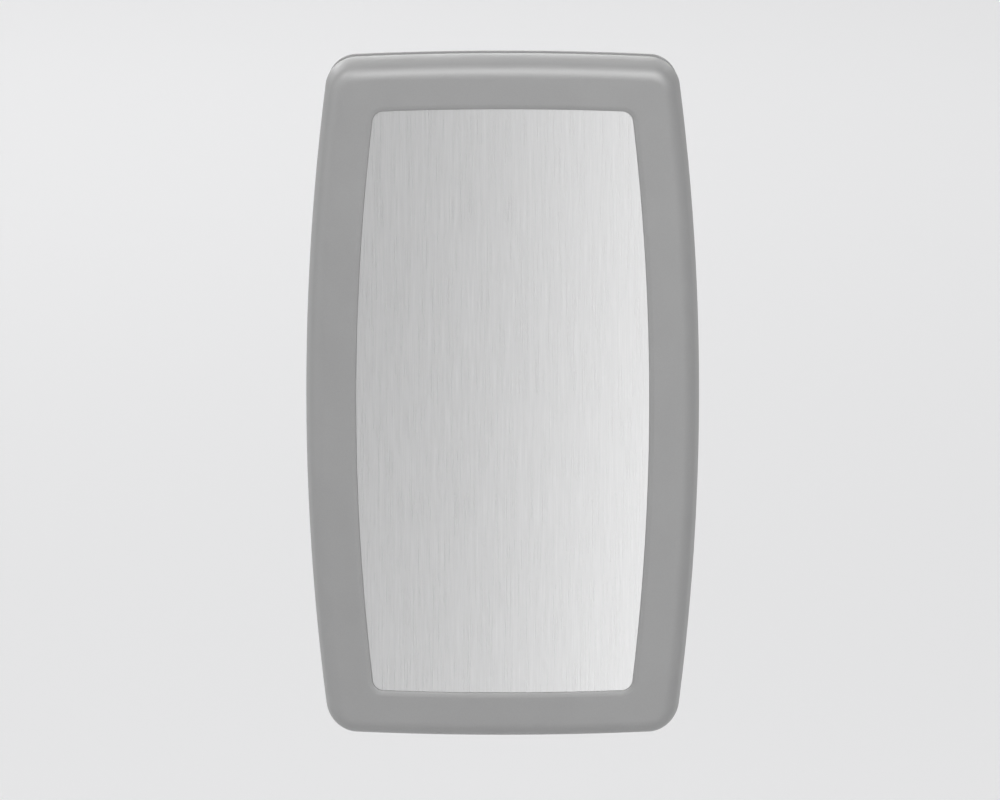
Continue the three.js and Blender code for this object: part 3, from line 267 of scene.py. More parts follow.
# nylon webbing: flat ribs across the band in a brick lay; ribs are drawn 4 mm long, twice life, to show
weave = {"rib": 4.0, "row": 2.2, "groove": 0.35, "soft": 0.8, "depth": 0.3, "bump": 0.5, "rough": 0.72,
         "sheen": 0.25, "tones": {"Color1": "#2B2C2F", "Color2": "#34353A", "Mortar": "#141416"}}


def nylonWebbing():
    w = weave
    finish, add, place = newFinish("nylonWebbing")
    lay = {"offset": 0.5, "Scale": 1.0, "Mortar Size": w["groove"], "Mortar Smooth": w["soft"],
           "Brick Width": w["rib"], "Row Height": w["row"]}
    tones = {key: linear(colour) for key, colour in w["tones"].items()}
    ribs = add("ShaderNodeTexBrick", {**lay, **tones}, {"Vector": place["UV"]}).outputs
    bump = add("ShaderNodeBump", {"Strength": w["bump"], "Distance": w["depth"] * mm, "invert": True},
               {"Height": ribs["Fac"]})
    coat(add, {"Roughness": w["rough"], "Sheen Weight": w["sheen"]},
         {"Base Color": ribs["Color"], "Normal": bump})
    return finish


galvanisedSteel = galvanised()
webbing = nylonWebbing()
print("finishes")

# outlines: bowed rectangles, half sizes and radii in millimetres, seen from the front
case = {"halfWidth": 270, "halfHeight": 478.5, "sideRadius": 3500, "endRadius": 4400, "corner": 44,
        "depth": 102}
leastCorner, leastRound = 2, 0.4  # smallest corner of an outline and of a plate
past, clear, below = 1, 20, -500  # how far a cutter goes: past a face, into the open, under the station
largeSides, plainSides, smallSides, hiddenSides = 64, 48, 32, 24  # of round forms
noseSteps = 24  # over the half round of an ear
creaseAngle = 32  # degrees, past which an edge stays crisp


def inset(outline, side, end=None, corner=None):
    end = side if end is None else end
    corner = max(outline["corner"] - side, leastCorner) if corner is None else corner
    smaller = {key: outline[key] - side for key in ("halfWidth", "sideRadius")}
    shorter = {key: outline[key] - end for key in ("halfHeight", "endRadius")}
    return {**smaller, **shorter, "corner": corner}


# places either side of a middle
def span(middle, half):
    return middle - half, middle + half


def onCircle(centre, radius, angle):
    return centre[0] + radius * math.cos(angle), centre[1] + radius * math.sin(angle)


def sweepArc(centre, radius, start, stop, steps):
    return [onCircle(centre, radius, start + (stop - start) * i / steps) for i in range(steps)]


# points round a bowed rectangle from the right over the top, as many for every outline
def outlinePoints(outline, sideSteps=12, cornerSteps=14, endSteps=8):
    sideX = outline["halfWidth"] - outline["sideRadius"]
    endZ = outline["halfHeight"] - outline["endRadius"]
    sideReach = outline["sideRadius"] - outline["corner"]
    endReach = outline["endRadius"] - outline["corner"]
    apart = math.hypot(sideX, endZ)
    along = (sideReach ** 2 - endReach ** 2 + apart ** 2) / (2 * apart)
    across = math.sqrt(sideReach ** 2 - along ** 2)
    ux, uz = -sideX / apart, endZ / apart
    meets = [(sideX + ux * along - uz * s, uz * along + ux * s) for s in (across, -across)]
    cornerX, cornerZ = max(meets, key=sum)
    sideAngle = math.atan2(cornerZ, cornerX - sideX)
    endAngle = math.atan2(cornerZ - endZ, cornerX)
    quarter = sweepArc((sideX, 0), outline["sideRadius"], 0, sideAngle, sideSteps)
    quarter += sweepArc((cornerX, cornerZ), outline["corner"], sideAngle, endAngle, cornerSteps)
    quarter += sweepArc((0, endZ), outline["endRadius"], endAngle, math.pi / 2, endSteps)
    back = quarter[:0:-1]
    top, right = outline["halfHeight"], outline["halfWidth"]
    return (quarter + [(0, top)] + [(-x, z) for x, z in back] + [(-right, 0)]
            + [(-x, -z) for x, z in quarter[1:]] + [(0, -top)] + [(x, -z) for x, z in back])


def roundRect(width, height, radius, x, z, steps=6):
    points = []
    for turn, (signX, signZ) in enumerate(((1, 1), (-1, 1), (-1, -1), (1, -1))):
        centre = (x + signX * (width / 2 - radius), z + signZ * (height / 2 - radius))
        start = turn * math.pi / 2
        points += sweepArc(centre, radius, start, start + math.pi / 2 * (1 + 1 / steps), steps + 1)
    return points


def ring(outline, y):
    return [(x, y, z) for x, z in outlinePoints(outline)]


# a ring for each inset and place along Y
def stack(outline, profile):
    return [ring(inset(outline, side), y) for side, y in profile]


def fixNormals(piece):
    made = bmesh.new()
    made.from_mesh(piece.data)
    bmesh.ops.recalc_face_normals(made, faces=made.faces)
    made.to_mesh(piece.data)
    made.free()


# closed skin through rings of points, with a face over each end; a tube's rings meet and have none
def loft(name, rings, meeting=False):
    count, layers = len(rings[0]), len(rings)
    faces = []
    for layer in range(layers if meeting else layers - 1):
        near, far = layer * count, (layer + 1) % layers * count
        for i in range(count):
            j = (i + 1) % count
            faces.append([near + i, far + i, far + j, near + j])
    if not meeting:
        faces += [list(range(count)), [(layers - 1) * count + i for i in range(count)][::-1]]
    mesh = bpy.data.meshes.new(name)
    mesh.from_pydata([Vector(p) * mm for loop in rings for p in loop], [], faces)
    made = addObject(name, mesh)
    fixNormals(made)
    return made


def boxTool(x, y, z):
    return loft("tool", [[(x[a], y[b], end) for a, b in ((0, 0), (1, 0), (1, 1), (0, 1))] for end in z])


def onAxis(axis, along, first, second):
    return {"X": (along, first, second), "Y": (first, along, second), "Z": (first, second, along)}[axis]


# turned shape: radius and place along an axis for each step, at the other two coordinates in X, Y, Z order
def lathe(name, axis, profile, first, second, sides=plainSides, meeting=False):
    turns = [2 * math.pi * i / sides for i in range(sides)]
    rings = [[onAxis(axis, along, first + radius * math.cos(a), second + radius * math.sin(a)) for a in turns]
             for radius, along in profile]
    return loft(name, rings, meeting)


def barTool(axis, radius, low, high, first, second, sides=plainSides):
    return lathe("tool", axis, [(radius, low), (radius, high)], first, second, sides)


# plate drawn from the front: an inset of its edge for each place along Y
def plate(name, width, height, radius, x, z, profile):
    rings = []
    for edge, y in profile:
        outline = roundRect(width - 2 * edge, height - 2 * edge, max(radius - edge, leastRound), x, z)
        rings.append([(px, y, pz) for px, pz in outline])
    return loft(name, rings)


# slab drawn from the side as y and z, with its middle and thickness along X
def sideSlab(outline, middle, thick):
    return loft("tool", [[(x, y, z) for y, z in outline] for x in span(middle, thick / 2)])


# quarter-round edge: inset and depth from the face, from the flat towards the side
def rounded(radius, y, away, steps=4):
    turns = [math.pi / 2 * i / steps for i in range(steps + 1)]
    return [(radius * (1 - math.sin(a)), y + away * radius * (1 - math.cos(a))) for a in turns]


# both edges of a plate between two places along Y
def roundedBoth(radius, low, high):
    return rounded(radius, low, 1) + rounded(radius, high, -1)[::-1]


# band or bar drawn along a path that lies in a plane; across is the way square to that plane, and the
# section is given for each share of the path
def sweep(name, path, across, section):
    rings = []
    points = [Vector(p) for p in path]
    across = Vector(across)
    last = len(points) - 1
    for i, point in enumerate(points):
        along = (points[min(i + 1, last)] - points[max(i - 1, 0)]).normalized()
        up = along.cross(across)
        rings.append([point + across * a + up * b for a, b in section(i / last)])
    return loft(name, rings)


def ease(share):
    return share * share * (3 - 2 * share)


def bake(piece):
    graph = bpy.context.evaluated_depsgraph_get()
    mesh = bpy.data.meshes.new_from_object(piece.evaluated_get(graph))
    piece.modifiers.clear()
    piece.data = mesh


def carve(piece, cutters, operation="DIFFERENCE"):
    for cutter in cutters:
        step = piece.modifiers.new("carve", "BOOLEAN")
        step.solver = "MANIFOLD"
        step.operation = operation
        step.object = cutter
        bake(piece)
        bpy.data.objects.remove(cutter)
    return piece


# last touches: smooth shading with crisp edges, the finish, the body it rides on and the solids it stands for
def settle(piece, finish, body, stands=()):
    piece.data.materials.clear()
    piece.data.materials.append(finish)
    piece.data.shade_smooth()
    piece.data.set_sharp_from_angle(angle=math.radians(creaseAngle))
    if body:
        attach(piece, body)
    if stands:
        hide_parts(*stands)
    return piece


# middle of a solid's box in millimetres, with its lowest and highest corners
def whereIs(node):
    low, high = [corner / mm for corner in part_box(node)]
    return (low + high) / 2, low, high


counts = {"liner_screw": 6, "shell_screw": 6, "bumper": 4, "hinge_bush": 4}


def numbered(kind):
    return [f"{kind}_{i + 1}" for i in range(counts[kind])]


def middles(kind):
    return [whereIs(solid)[0] for solid in numbered(kind)]


# bars along Y, one at each spot
def bores(spots, radius, low, high, sides=hiddenSides):
    return [barTool("Y", radius, low, high, spot.x, spot.z, sides) for spot in spots]


# bed shell: a flat frame round a veneer let into it, a round edge and a gentle crown on to the rear
bedShell = {
    "depth": 56, "wall": 4.5, "edge": 21, "turn": 75, "rearEdge": 2.5, "edgeSteps": 16, "crownSteps": 8,
    "insideSteps": (6, 4), "frameSide": 68.5, "frameEnd": 67.5, "veneerCorner": 16, "setback": 4.5,
    "veneer": 1.0, "bevel": 0.25, "lip": 7.2, "lipFoot": 0.5, "lipDepth": 2.1, "lipEase": 1.35, "lipSteps": 8,
    "lipFlat": 1.5, "edgeFlat": 2, "gap": 0.3, "veneerGap": 0.1, "boss": 5, "bossDrop": 3.8,
}
# hinge: its middle, the ears of both halves and the rod, which the pieces round it make room for
hinge = {"y": -46, "z": -444.5, "ear": 5, "chassisEars": (-178, -64, 64, 178), "chassisEarRadius": 11,
         "bedEars": (-170.9, -71.1, 71.1, 170.9), "bedEarRadius": 13, "running": 1.5, "trough": 9, "rod": 6,
         "rodReach": 186.5, "leverHalf": 12.5, "leverRadius": 24, "heel": 34}
frontY = -case["depth"]
bedRearY = frontY + bedShell["depth"]
seatY = frontY + bedShell["setback"] + bedShell["veneer"] + bedShell["gap"]
veneerOutline = inset(case, bedShell["frameSide"], bedShell["frameEnd"], bedShell["veneerCorner"])
edgeTurn = math.radians(bedShell["turn"])
crownDepth = bedShell["depth"] - bedShell["rearEdge"]
crownRadius = (crownDepth - bedShell["edge"] * (1 - math.cos(edgeTurn))) / math.cos(edgeTurn)
faceInset = bedShell["edge"] * math.sin(edgeTurn) + crownRadius * (1 - math.sin(edgeTurn))


def bedEdge(wall, roundSteps, sideSteps):
    arcs = ((bedShell["edge"], faceInset, bedShell["edge"], 0, edgeTurn, roundSteps),
            (crownRadius, crownRadius, crownDepth, edgeTurn, math.pi / 2, sideSteps))
    loops = []
    for radius, side, deep, start, stop, steps in arcs:
        for i in range(1, steps + 1):
            angle = start + (stop - start) * i / steps
            outline = inset(case, side - (radius - wall) * math.sin(angle))
            loops.append(ring(outline, frontY + deep - (radius - wall) * math.cos(angle)))
    return loops


def earSlots():
    half = hinge["ear"] / 2 + hinge["running"]
    reach = hinge["chassisEarRadius"] + hinge["running"]
    y, z = hinge["y"], hinge["z"]
    return [boxTool(span(x, half), (y - reach, y + clear), (below, z + reach)) for x in hinge["chassisEars"]]


def makeBedShell():
    s = bedShell
    gap, wall, lip, foot = s["veneerGap"], s["wall"], s["lip"], s["lipFoot"]
    recess = [(-gap, seatY), (-gap, frontY + s["setback"])]
    for i in range(s["lipSteps"] + 1):
        share = i / s["lipSteps"]
        side = gap + foot + (lip - foot) * share
        recess.append((-side, frontY + s["lipDepth"] * (1 - share) ** s["lipEase"]))
    rings = stack(veneerOutline, recess + [(-gap - lip - s["lipFlat"], frontY)])
    rings += stack(case, [(faceInset + s["edgeFlat"], frontY), (faceInset, frontY)])
    rings += bedEdge(0, s["edgeSteps"], s["crownSteps"])
    rings += stack(case, rounded(s["rearEdge"], bedRearY, -1)[::-1][1:] + [(wall, bedRearY)])
    rings += bedEdge(wall, *s["insideSteps"])[::-1]
    rings.append(ring(inset(case, faceInset), frontY + wall))
    rings += stack(veneerOutline, [(-gap - lip - wall / 2, frontY + wall), (-gap - lip, seatY + wall)])
    shell = loft("bed_shell_moulding", rings)
    bosses = bores(middles("liner_screw"), s["boss"], frontY + wall - past, bedRearY - s["bossDrop"])
    carve(shell, bosses, "UNION")
    carve(shell, earSlots())
    settle(shell, greyMoulding, "bed", ["bed_shell"])


def makeVeneer():
    face, bevel = frontY + bedShell["setback"], bedShell["bevel"]
    rings = stack(veneerOutline, [(bevel, face), (0, face + bevel), (0, face + bedShell["veneer"])])
    settle(loft("steel_veneer", rings), veneerFinish, "bed", ["steel_panel"])


makeBedShell()
makeVeneer()
print("bed shell and veneer")

# tray: a rim that fills the shell's mouth and a dish that falls smoothly to a flat floor; its screw holes are
# a radius and a depth each
tray = {"edge": 4.8, "rim": 27, "corner": 60, "sideSlope": 88, "endSlope": 97, "floorCorner": 80, "depth": 36,
        "wall": 3.5, "steps": 20, "rimEdge": 1.2, "leverDrop": 15.99, "screwHoles": ((2.5, 20), (5.6, 2.3)),
        "strapZ": -20, "strapWidth": 38, "strapSlot": 2.5, "slotPlay": 1.5}
# strap: a band that lies on the floor and up the side of the tray to its slot
strap = {"thickness": 2.0, "lay": 1.3, "edge": 0.8, "loopGap": 0.4,
         "tail": 30, "tailFlat": 9, "tailGap": 0.15, "tailPull": 4, "sewnFrom": 12,
         "buckleBar": 2.5, "buckleLeave": 50, "buckleSteps": 22,
         "floorEnd": 150, "floorSteps": 14, "sideSteps": 10,
         "slotShare": 0.5, "slotEase": 0.06, "slotPast": 8, "slotPull": 3, "slotSteps": 6, "behind": 228,
         "anchorBar": 4.0, "anchorOver": 115, "anchorUnder": -110, "anchorPull": 6, "anchorSteps": 20,
         "endFrom": 236, "end": 226, "endGap": 0.3, "endPull": 4}
trayFloorY = bedRearY - tray["depth"]
mouthOutline = inset(case, tray["edge"] + tray["rim"], corner=tray["corner"])
floorOutline = inset(mouthOutline, tray["sideSlope"], tray["endSlope"], tray["floorCorner"])
sideMouthX = mouthOutline["halfWidth"] - tray["strapZ"] ** 2 / (2 * mouthOutline["sideRadius"])


def trayY(share):
    return bedRearY - tray["depth"] * ease(share)


# where the middle of the strap lies on the tray's side
def traySide(share):
    slope = tray["depth"] * 6 * share * (1 - share) / tray["sideSlope"]
    length = math.hypot(1, slope)
    x, y = sideMouthX - tray["sideSlope"] * share, trayY(share)
    return x - strap["lay"] * slope / length, y + strap["lay"] / length


strapSlot = traySide(strap["slotShare"])


def trayRings(drop):
    mouth, bottom = outlinePoints(mouthOutline), outlinePoints(floorOutline)
    rings = []
    for step in range(tray["steps"] + 1):
        share = step / tray["steps"]
        rings.append([(x + (u - x) * share, trayY(share) - drop, z + (v - z) * share)
                      for (x, z), (u, v) in zip(mouth, bottom)])
    return rings


def makeTray():
    t, wall, gap, y, z = tray, tray["wall"], bedShell["gap"], hinge["y"], hinge["z"]
    edge = inset(case, t["edge"])
    upper = trayRings(0)
    under = trayRings(wall)[::-1] + [ring(edge, bedRearY - wall)]
    rim = stack(edge, rounded(t["rimEdge"], bedRearY, -1)[::-1])
    dish = loft("moulded_tray", under + rim + upper)
    filled = loft("tool", [ring(edge, frontY), ring(edge, bedRearY)] + upper)
    reach = hinge["rodReach"] + hinge["running"]
    trough = barTool("X", hinge["trough"] + wall, -reach - wall, reach + wall, y, z)
    carve(trough, [filled], "INTERSECT")
    carve(dish, [trough], "UNION")
    cuts = [barTool("X", hinge["trough"], -reach, reach, y, z)] + earSlots()
    ear = hinge["bedEarRadius"] + gap
    for bedX, chassisX in zip(hinge["bedEars"], hinge["chassisEars"]):
        away = math.copysign(hinge["ear"] / 2 + gap, bedX - chassisX)
        cuts.append(boxTool(sorted((bedX + away, chassisX)), (y - 2 * ear, y + ear), span(z, ear)))
    lever = hinge["leverHalf"] + gap
    cuts.append(boxTool(span(0, lever), (y - 2 * ear, y + ear), (z - t["leverDrop"], z + ear)))
    for spot in middles("liner_screw"):
        for radius, depth in t["screwHoles"]:
            cuts += bores([spot], radius, bedRearY - depth, bedRearY + past, smallSides)
    slotX, slotY = strapSlot
    wide = t["strapWidth"] / 2 + t["slotPlay"]
    for side in (-1, 1):
        cuts.append(boxTool(span(side * slotX, clear), span(slotY, t["strapSlot"]), span(t["strapZ"], wide)))
    carve(dish, cuts)
    settle(dish, greyMoulding, "bed", ["bed_liner"])


makeTray()
print("tray")

# wall shell: a shallow cover with a flange along the wall, a slightly sunk panel and a notch for the heel
wallShell = {"inset": 11, "wall": 4, "edge": 5, "edgeSteps": 6, "root": 2, "rim": 38, "rimFlat": 2,
             "flange": 4.5, "flangeSide": 7.5, "flangeThickness": 3, "flangeCorner": 40, "flangeEdge": 0.8,
             "setback": 2, "slope": 4, "slopeSteps": 6, "panelFlat": 3, "panelCorner": 24, "backGap": 0.5,
             "heelGap": 3, "leverPlay": 2, "fixingHole": 3.4, "hookHole": 4.4}
# liner pockets: two bins let into the wall shell, each with a slotted cover
pocket = {"width": 150, "height": 210, "depth": 27, "wall": 2, "flange": 9, "corner": 8, "edge": 0.4,
          "binCorner": 6, "binEdge": 3, "cover": 2.5, "soft": 1.2, "slot": (110, 30), "slotFlat": 0.1,
          "lip": 6, "lipPlay": 0.3, "lipWall": 2, "lipCorner": 3.6, "lipInside": 2}
# bag hooks: a rounded J on a small plate that lies lower than the hook's middle; the plate's sizes are its
# width, height, corner and thickness
hook = {"width": 16, "thickness": 6, "gap": 16, "rise": 38, "soft": 2.2, "legSteps": 3, "bendSteps": 20,
        "tip": 16, "tipSteps": 10, "tipRound": 3, "tipNarrow": 5, "tipLeast": 0.01,
        "plate": (34, 66, 8, 3), "plateDrop": 7, "plateEdge": 1.2}
shellFrontY = bedRearY + wallShell["heelGap"]
shellPanelY = shellFrontY + wallShell["setback"]
shellMountY = shellPanelY - bedShell["gap"]
heelBackY = hinge["y"] + hinge["heel"] + wallShell["heelGap"]


def hookPlace(side):
    middle = whereIs(f"bag_hook_{side}")[0]
    return middle.x, middle.z + hook["plateDrop"]


def heelNotch(wall):
    reach = hinge["rodReach"] + hinge["running"] + wall
    wide = case["halfWidth"] + clear
    top = hinge["z"] + wallShell["heelGap"] + wall
    return [boxTool(span(0, wide), (shellFrontY - clear, heelBackY + wall), (below, top)),
            barTool("X", hinge["trough"] + wall, -reach, reach, hinge["y"], hinge["z"])]


def makeWallShell():
    s, p, wall, run, y, z = wallShell, pocket, wallShell["wall"], hinge["running"], hinge["y"], hinge["z"]
    body = inset(case, s["inset"])
    flange = inset(body, -s["flangeSide"], -s["flange"], s["flangeCorner"])
    panel = inset(body, s["rim"], corner=s["panelCorner"])
    shares = [i / s["slopeSteps"] for i in range(s["slopeSteps"] + 1)]
    sunk = [(s["slope"] * (1 - share), shellPanelY - s["setback"] * ease(share)) for share in shares]
    thick = -s["flangeThickness"]
    root = [(-side, y) for side, y in rounded(s["root"], thick, -1)[::-1]]
    rings = stack(panel, [(s["slope"] + s["panelFlat"], shellPanelY)] + sunk + [(-s["rimFlat"], shellFrontY)])
    rings += stack(body, rounded(s["edge"], shellFrontY, 1, s["edgeSteps"]) + root)
    rings += stack(flange, rounded(s["flangeEdge"], thick, 1)) + [ring(flange, -s["backGap"])]
    shell = carve(loft("wall_shell_moulding", rings), heelNotch(0))
    inner = inset(body, wall)
    rings = [ring(inset(panel, s["slope"]), shellPanelY + wall), ring(panel, shellFrontY + wall),
             ring(inner, shellFrontY + wall), ring(inner, clear)]
    hollow = carve(loft("tool", rings), heelNotch(wall))
    carve(shell, [hollow])
    reach, half = hinge["bedEarRadius"] + run, hinge["ear"] / 2 + run
    cuts = []
    for bedX, chassisX in zip(hinge["bedEars"], hinge["chassisEars"]):
        cuts.append(boxTool(span(chassisX, half), (shellFrontY - clear, thick), span(z, reach)))
        cuts.append(barTool("X", reach, *span(bedX, half), y, z))
    lever = hinge["leverHalf"] + s["leverPlay"] + run + bedShell["gap"]
    cuts.append(barTool("X", hinge["leverRadius"], -lever, lever, y, z))
    leverTop = z + s["heelGap"] + wall + run
    cuts.append(boxTool(span(0, lever), (shellFrontY + wall, heelBackY - run), (below, leverTop)))
    margin = 2 * (p["wall"] + bedShell["gap"])
    for side in ("left", "right"):
        spot = whereIs(f"liner_bin_{side}")[0]
        wide, tall, edges = p["width"] + margin, p["height"] + margin, [(0, shellFrontY - clear), (0, -clear)]
        cuts.append(plate("tool", wide, tall, p["binCorner"], spot.x, spot.z, edges))
        cuts.append(barTool("Y", s["hookHole"], shellFrontY - past, -clear, *hookPlace(side), hiddenSides))
    spots = middles("shell_screw") + middles("bumper")
    carve(shell, cuts + bores(spots, s["fixingHole"], shellFrontY - past, -clear))
    settle(shell, greyMoulding, "wall_unit", ["wall_shell"])


def makePocket(side):
    p, gap = pocket, bedShell["gap"]
    middle = whereIs(f"liner_cover_{side}")[0]
    x, z = middle.x, middle.z
    margin = 2 * (p["wall"] + p["flange"])
    wide, tall = p["width"] + margin, p["height"] + margin
    front = shellMountY - p["wall"]
    deep = front + p["depth"]
    edges = [(p["edge"], front), (0, front + p["edge"]), (0, shellMountY)]
    holder = plate(f"liner_pocket_{side}", wide, tall, p["corner"], x, z, edges)
    edges = [(0, front + p["edge"] / 2)] + rounded(p["binEdge"], deep + p["wall"], -1)[::-1]
    tub = plate("tool", p["width"] + 2 * p["wall"], p["height"] + 2 * p["wall"], p["binCorner"], x, z, edges)
    carve(holder, [tub], "UNION")
    inside = [(0, front - past), (0, deep)]
    carve(holder, [plate("tool", p["width"], p["height"], p["binCorner"] - p["wall"], x, z, inside)])
    settle(holder, greyMoulding, "wall_unit", [f"liner_bin_{side}"])
    seat = front - gap
    face = seat - p["cover"]
    soft = rounded(p["soft"], face, 1)
    cover = plate(f"liner_door_{side}", wide, tall, p["corner"], x, z, soft + [(0, seat)])
    wide, tall = p["width"] - 2 * p["lipPlay"], p["height"] - 2 * p["lipPlay"]
    lip = plate("tool", wide, tall, p["lipCorner"], x, z, [(0, seat - past), (0, seat + p["lip"])])
    inside, walls = [(0, seat), (0, seat + p["lip"] + past)], 2 * p["lipWall"]
    carve(lip, [plate("tool", wide - walls, tall - walls, p["lipInside"], x, z, inside)])
    carve(cover, [lip], "UNION")
    long, high = p["slot"]
    flare = [(-p["soft"], face - gap)] + [(-edge, y) for edge, y in soft] + [(0, seat + 2 * past)]
    carve(cover, [plate("tool", long, high, high / 2 - p["slotFlat"], x, z, flare)])
    settle(cover, greyMoulding, "wall_unit", [f"liner_cover_{side}"])


def makeHook(side):
    h, thick, half = hook, hook["thickness"], hook["rise"] / 2
    x, hookZ = hookPlace(side)
    legY = shellMountY - thick / 2
    bendY, bendZ = shellMountY - thick - h["gap"] / 2, hookZ - half
    turn = h["gap"] / 2 + thick / 2
    tipStep = (h["tip"] + thick / 2) / h["tipSteps"]
    legs = h["legSteps"]
    path = [(x, legY, hookZ + half * (1 - i / legs)) for i in range(2 * legs)]
    path += [(x, y, z) for y, z in sweepArc((bendY, bendZ), turn, 0, -math.pi, h["bendSteps"])]
    path += [(x, bendY - turn, bendZ + tipStep * i) for i in range(h["tipSteps"] + 1)]

    def section(share):
        left = (1 - share) * (len(path) - 1) * tipStep / h["tipRound"]
        close = 1 if left > 1 else math.sqrt(max(1 - (1 - left) ** 2, h["tipLeast"]))
        return roundRect(h["width"] - h["tipNarrow"] * (1 - close), thick * close, h["soft"] * close, 0, 0)

    piece = sweep(f"bag_peg_{side}", path, (1, 0, 0), section)
    width, height, corner, deep = h["plate"]
    edges = rounded(h["plateEdge"], shellMountY - deep, 1) + [(0, shellMountY)]
    carve(piece, [plate("tool", width, height, corner, x, hookZ - h["plateDrop"], edges)], "UNION")
    settle(piece, greyMoulding, "wall_unit", [f"bag_hook_{side}"])


makeWallShell()
for side in ("left", "right"):
    makePocket(side)
for side in ("left", "right"):
    makeHook(side)
print("wall shell, liner pockets and bag hooks")


# node tree with named inputs for its sizes, its turns and its finish
def newTree(name, sizes, turns=()):
    tree = bpy.data.node_groups.new(name, "GeometryNodeTree")
    sockets = [("Geometry", "Geometry")] + [(label, "Float") for label in sizes]
    sockets += [(label, "Vector") for label in turns] + [("Finish", "Material")]
    for label, kind in sockets:
        tree.interface.new_socket(label, in_out="INPUT", socket_type="NodeSocket" + kind)
    tree.interface.new_socket("Geometry", in_out="OUTPUT", socket_type="NodeSocketGeometry")
    add = partial(addNode, tree)
    return tree, add, add("NodeGroupInput").outputs


# ends a tree: its instances become real and take their finish
def closeTree(add, instances, finish):
    real = add("GeometryNodeRealizeInstances", links={"Geometry": instances})
    done = add("GeometryNodeSetMaterial", links={"Geometry": real, "Material": finish})
    add("NodeGroupOutput", links={"Geometry": done})


# runs a tree on points and edges and keeps the result as a plain mesh; points and sizes are in millimetres
def grow(name, tree, points, edges, sizes, others):
    mesh = bpy.data.meshes.new(name)
    mesh.from_pydata([Vector(p) * mm for p in points], edges, [])
    piece = addObject(name, mesh)
    step = piece.modifiers.new("grow", "NODES")
    step.node_group = tree
    sockets = {s.name: s.identifier for s in tree.interface.items_tree if s.in_out == "INPUT"}
    values = {label: size * mm for label, size in sizes.items()}
    for label, value in {**values, **others}.items():
        step[sockets[label]] = value
    bake(piece)
    return piece


# fixings: a domed head, with a cross recess on screws, over a plain shank; nodes set one on each point
headForm = {"sides": 40, "rings": 6, "shankSides": 24, "domePower": 2.4, "seed": 7}
headSizes = ("Head Radius", "Rim", "Dome", "Shank Radius", "Shank Length", "Recess Length", "Recess Width")


def fixingTree(name, crossed):
    tree, add, given = newTree(name, headSizes, ("Facing",))
    head = add("GeometryNodeMeshCylinder", {
        "fill_type": "TRIANGLE_FAN", "Vertices": headForm["sides"], "Fill Segments": headForm["rings"]},
        {"Radius": given["Head Radius"], "Depth": given["Rim"]})
    # the dome falls from the middle of the head to nothing at its rim
    place = add("GeometryNodeInputPosition")
    flat = add("ShaderNodeVectorMath", {"operation": "MULTIPLY", 1: (1, 1, 0)}, {0: place})
    away = add("ShaderNodeVectorMath", {"operation": "LENGTH"}, {0: flat}).outputs["Value"]
    share = add("ShaderNodeMath", {"operation": "DIVIDE"}, {0: away, 1: given["Head Radius"]})
    fall = add("ShaderNodeMath", {"operation": "POWER", 1: headForm["domePower"]}, {0: share})
    left = add("ShaderNodeMath", {"operation": "SUBTRACT", 0: 1.0}, {1: fall})
    rise = add("ShaderNodeMath", {"operation": "MULTIPLY"}, {0: left, 1: given["Dome"]})
    lift = add("ShaderNodeCombineXYZ", links={"Z": rise})
    dome = add("GeometryNodeSetPosition", links={
        "Geometry": head, "Selection": head.outputs["Top"], "Offset": lift})
    shank = add("GeometryNodeMeshCylinder", {"Vertices": headForm["shankSides"]},
                {"Radius": given["Shank Radius"], "Depth": given["Shank Length"]})
    # head and shank meet where the point is
    halves = []
    for part, length, way in ((dome, "Rim", 0.5), (shank, "Shank Length", -0.5)):
        along = add("ShaderNodeMath", {"operation": "MULTIPLY", 1: way}, {0: given[length]})
        along = add("ShaderNodeCombineXYZ", links={"Z": along})
        halves.append(add("GeometryNodeTransform", links={"Geometry": part, "Translation": along}))
    shape, shank = halves
    if crossed:
        top = add("ShaderNodeMath", {"operation": "ADD"}, {0: given["Rim"], 1: given["Dome"]})
        middle = add("ShaderNodeCombineXYZ", links={"Z": top})
        for longSide, shortSide in (("X", "Y"), ("Y", "X")):
            size = add("ShaderNodeCombineXYZ", links={
                longSide: given["Recess Length"], shortSide: given["Recess Width"], "Z": top})
            slot = add("GeometryNodeMeshCube", links={"Size": size})
            slot = add("GeometryNodeTransform", links={"Geometry": slot, "Translation": middle})
            shape = add("GeometryNodeMeshBoolean", {"operation": "DIFFERENCE"},
                        {"Mesh 1": shape, "Mesh 2": slot})
    fixing = add("GeometryNodeJoinGeometry", links={"Geometry": shank})
    tree.links.new(shape.outputs["Mesh" if crossed else "Geometry"], fixing.inputs["Geometry"])
    turn = add("FunctionNodeEulerToRotation", links={"Euler": given["Facing"]})
    placed = add("GeometryNodeInstanceOnPoints", links={
        "Points": given["Geometry"], "Instance": fixing, "Rotation": turn})
    # each was driven home to its own angle
    draw = {"data_type": "FLOAT", 2: 0.0, 3: math.pi, 8: headForm["seed"]}
    spin = add("ShaderNodeCombineXYZ", links={"Z": add("FunctionNodeRandomValue", draw).outputs[1]})
    spin = add("FunctionNodeEulerToRotation", links={"Euler": spin})
    placed = add("GeometryNodeRotateInstances", links={"Instances": placed, "Rotation": spin})
    closeTree(add, placed, given["Finish"])
    return tree


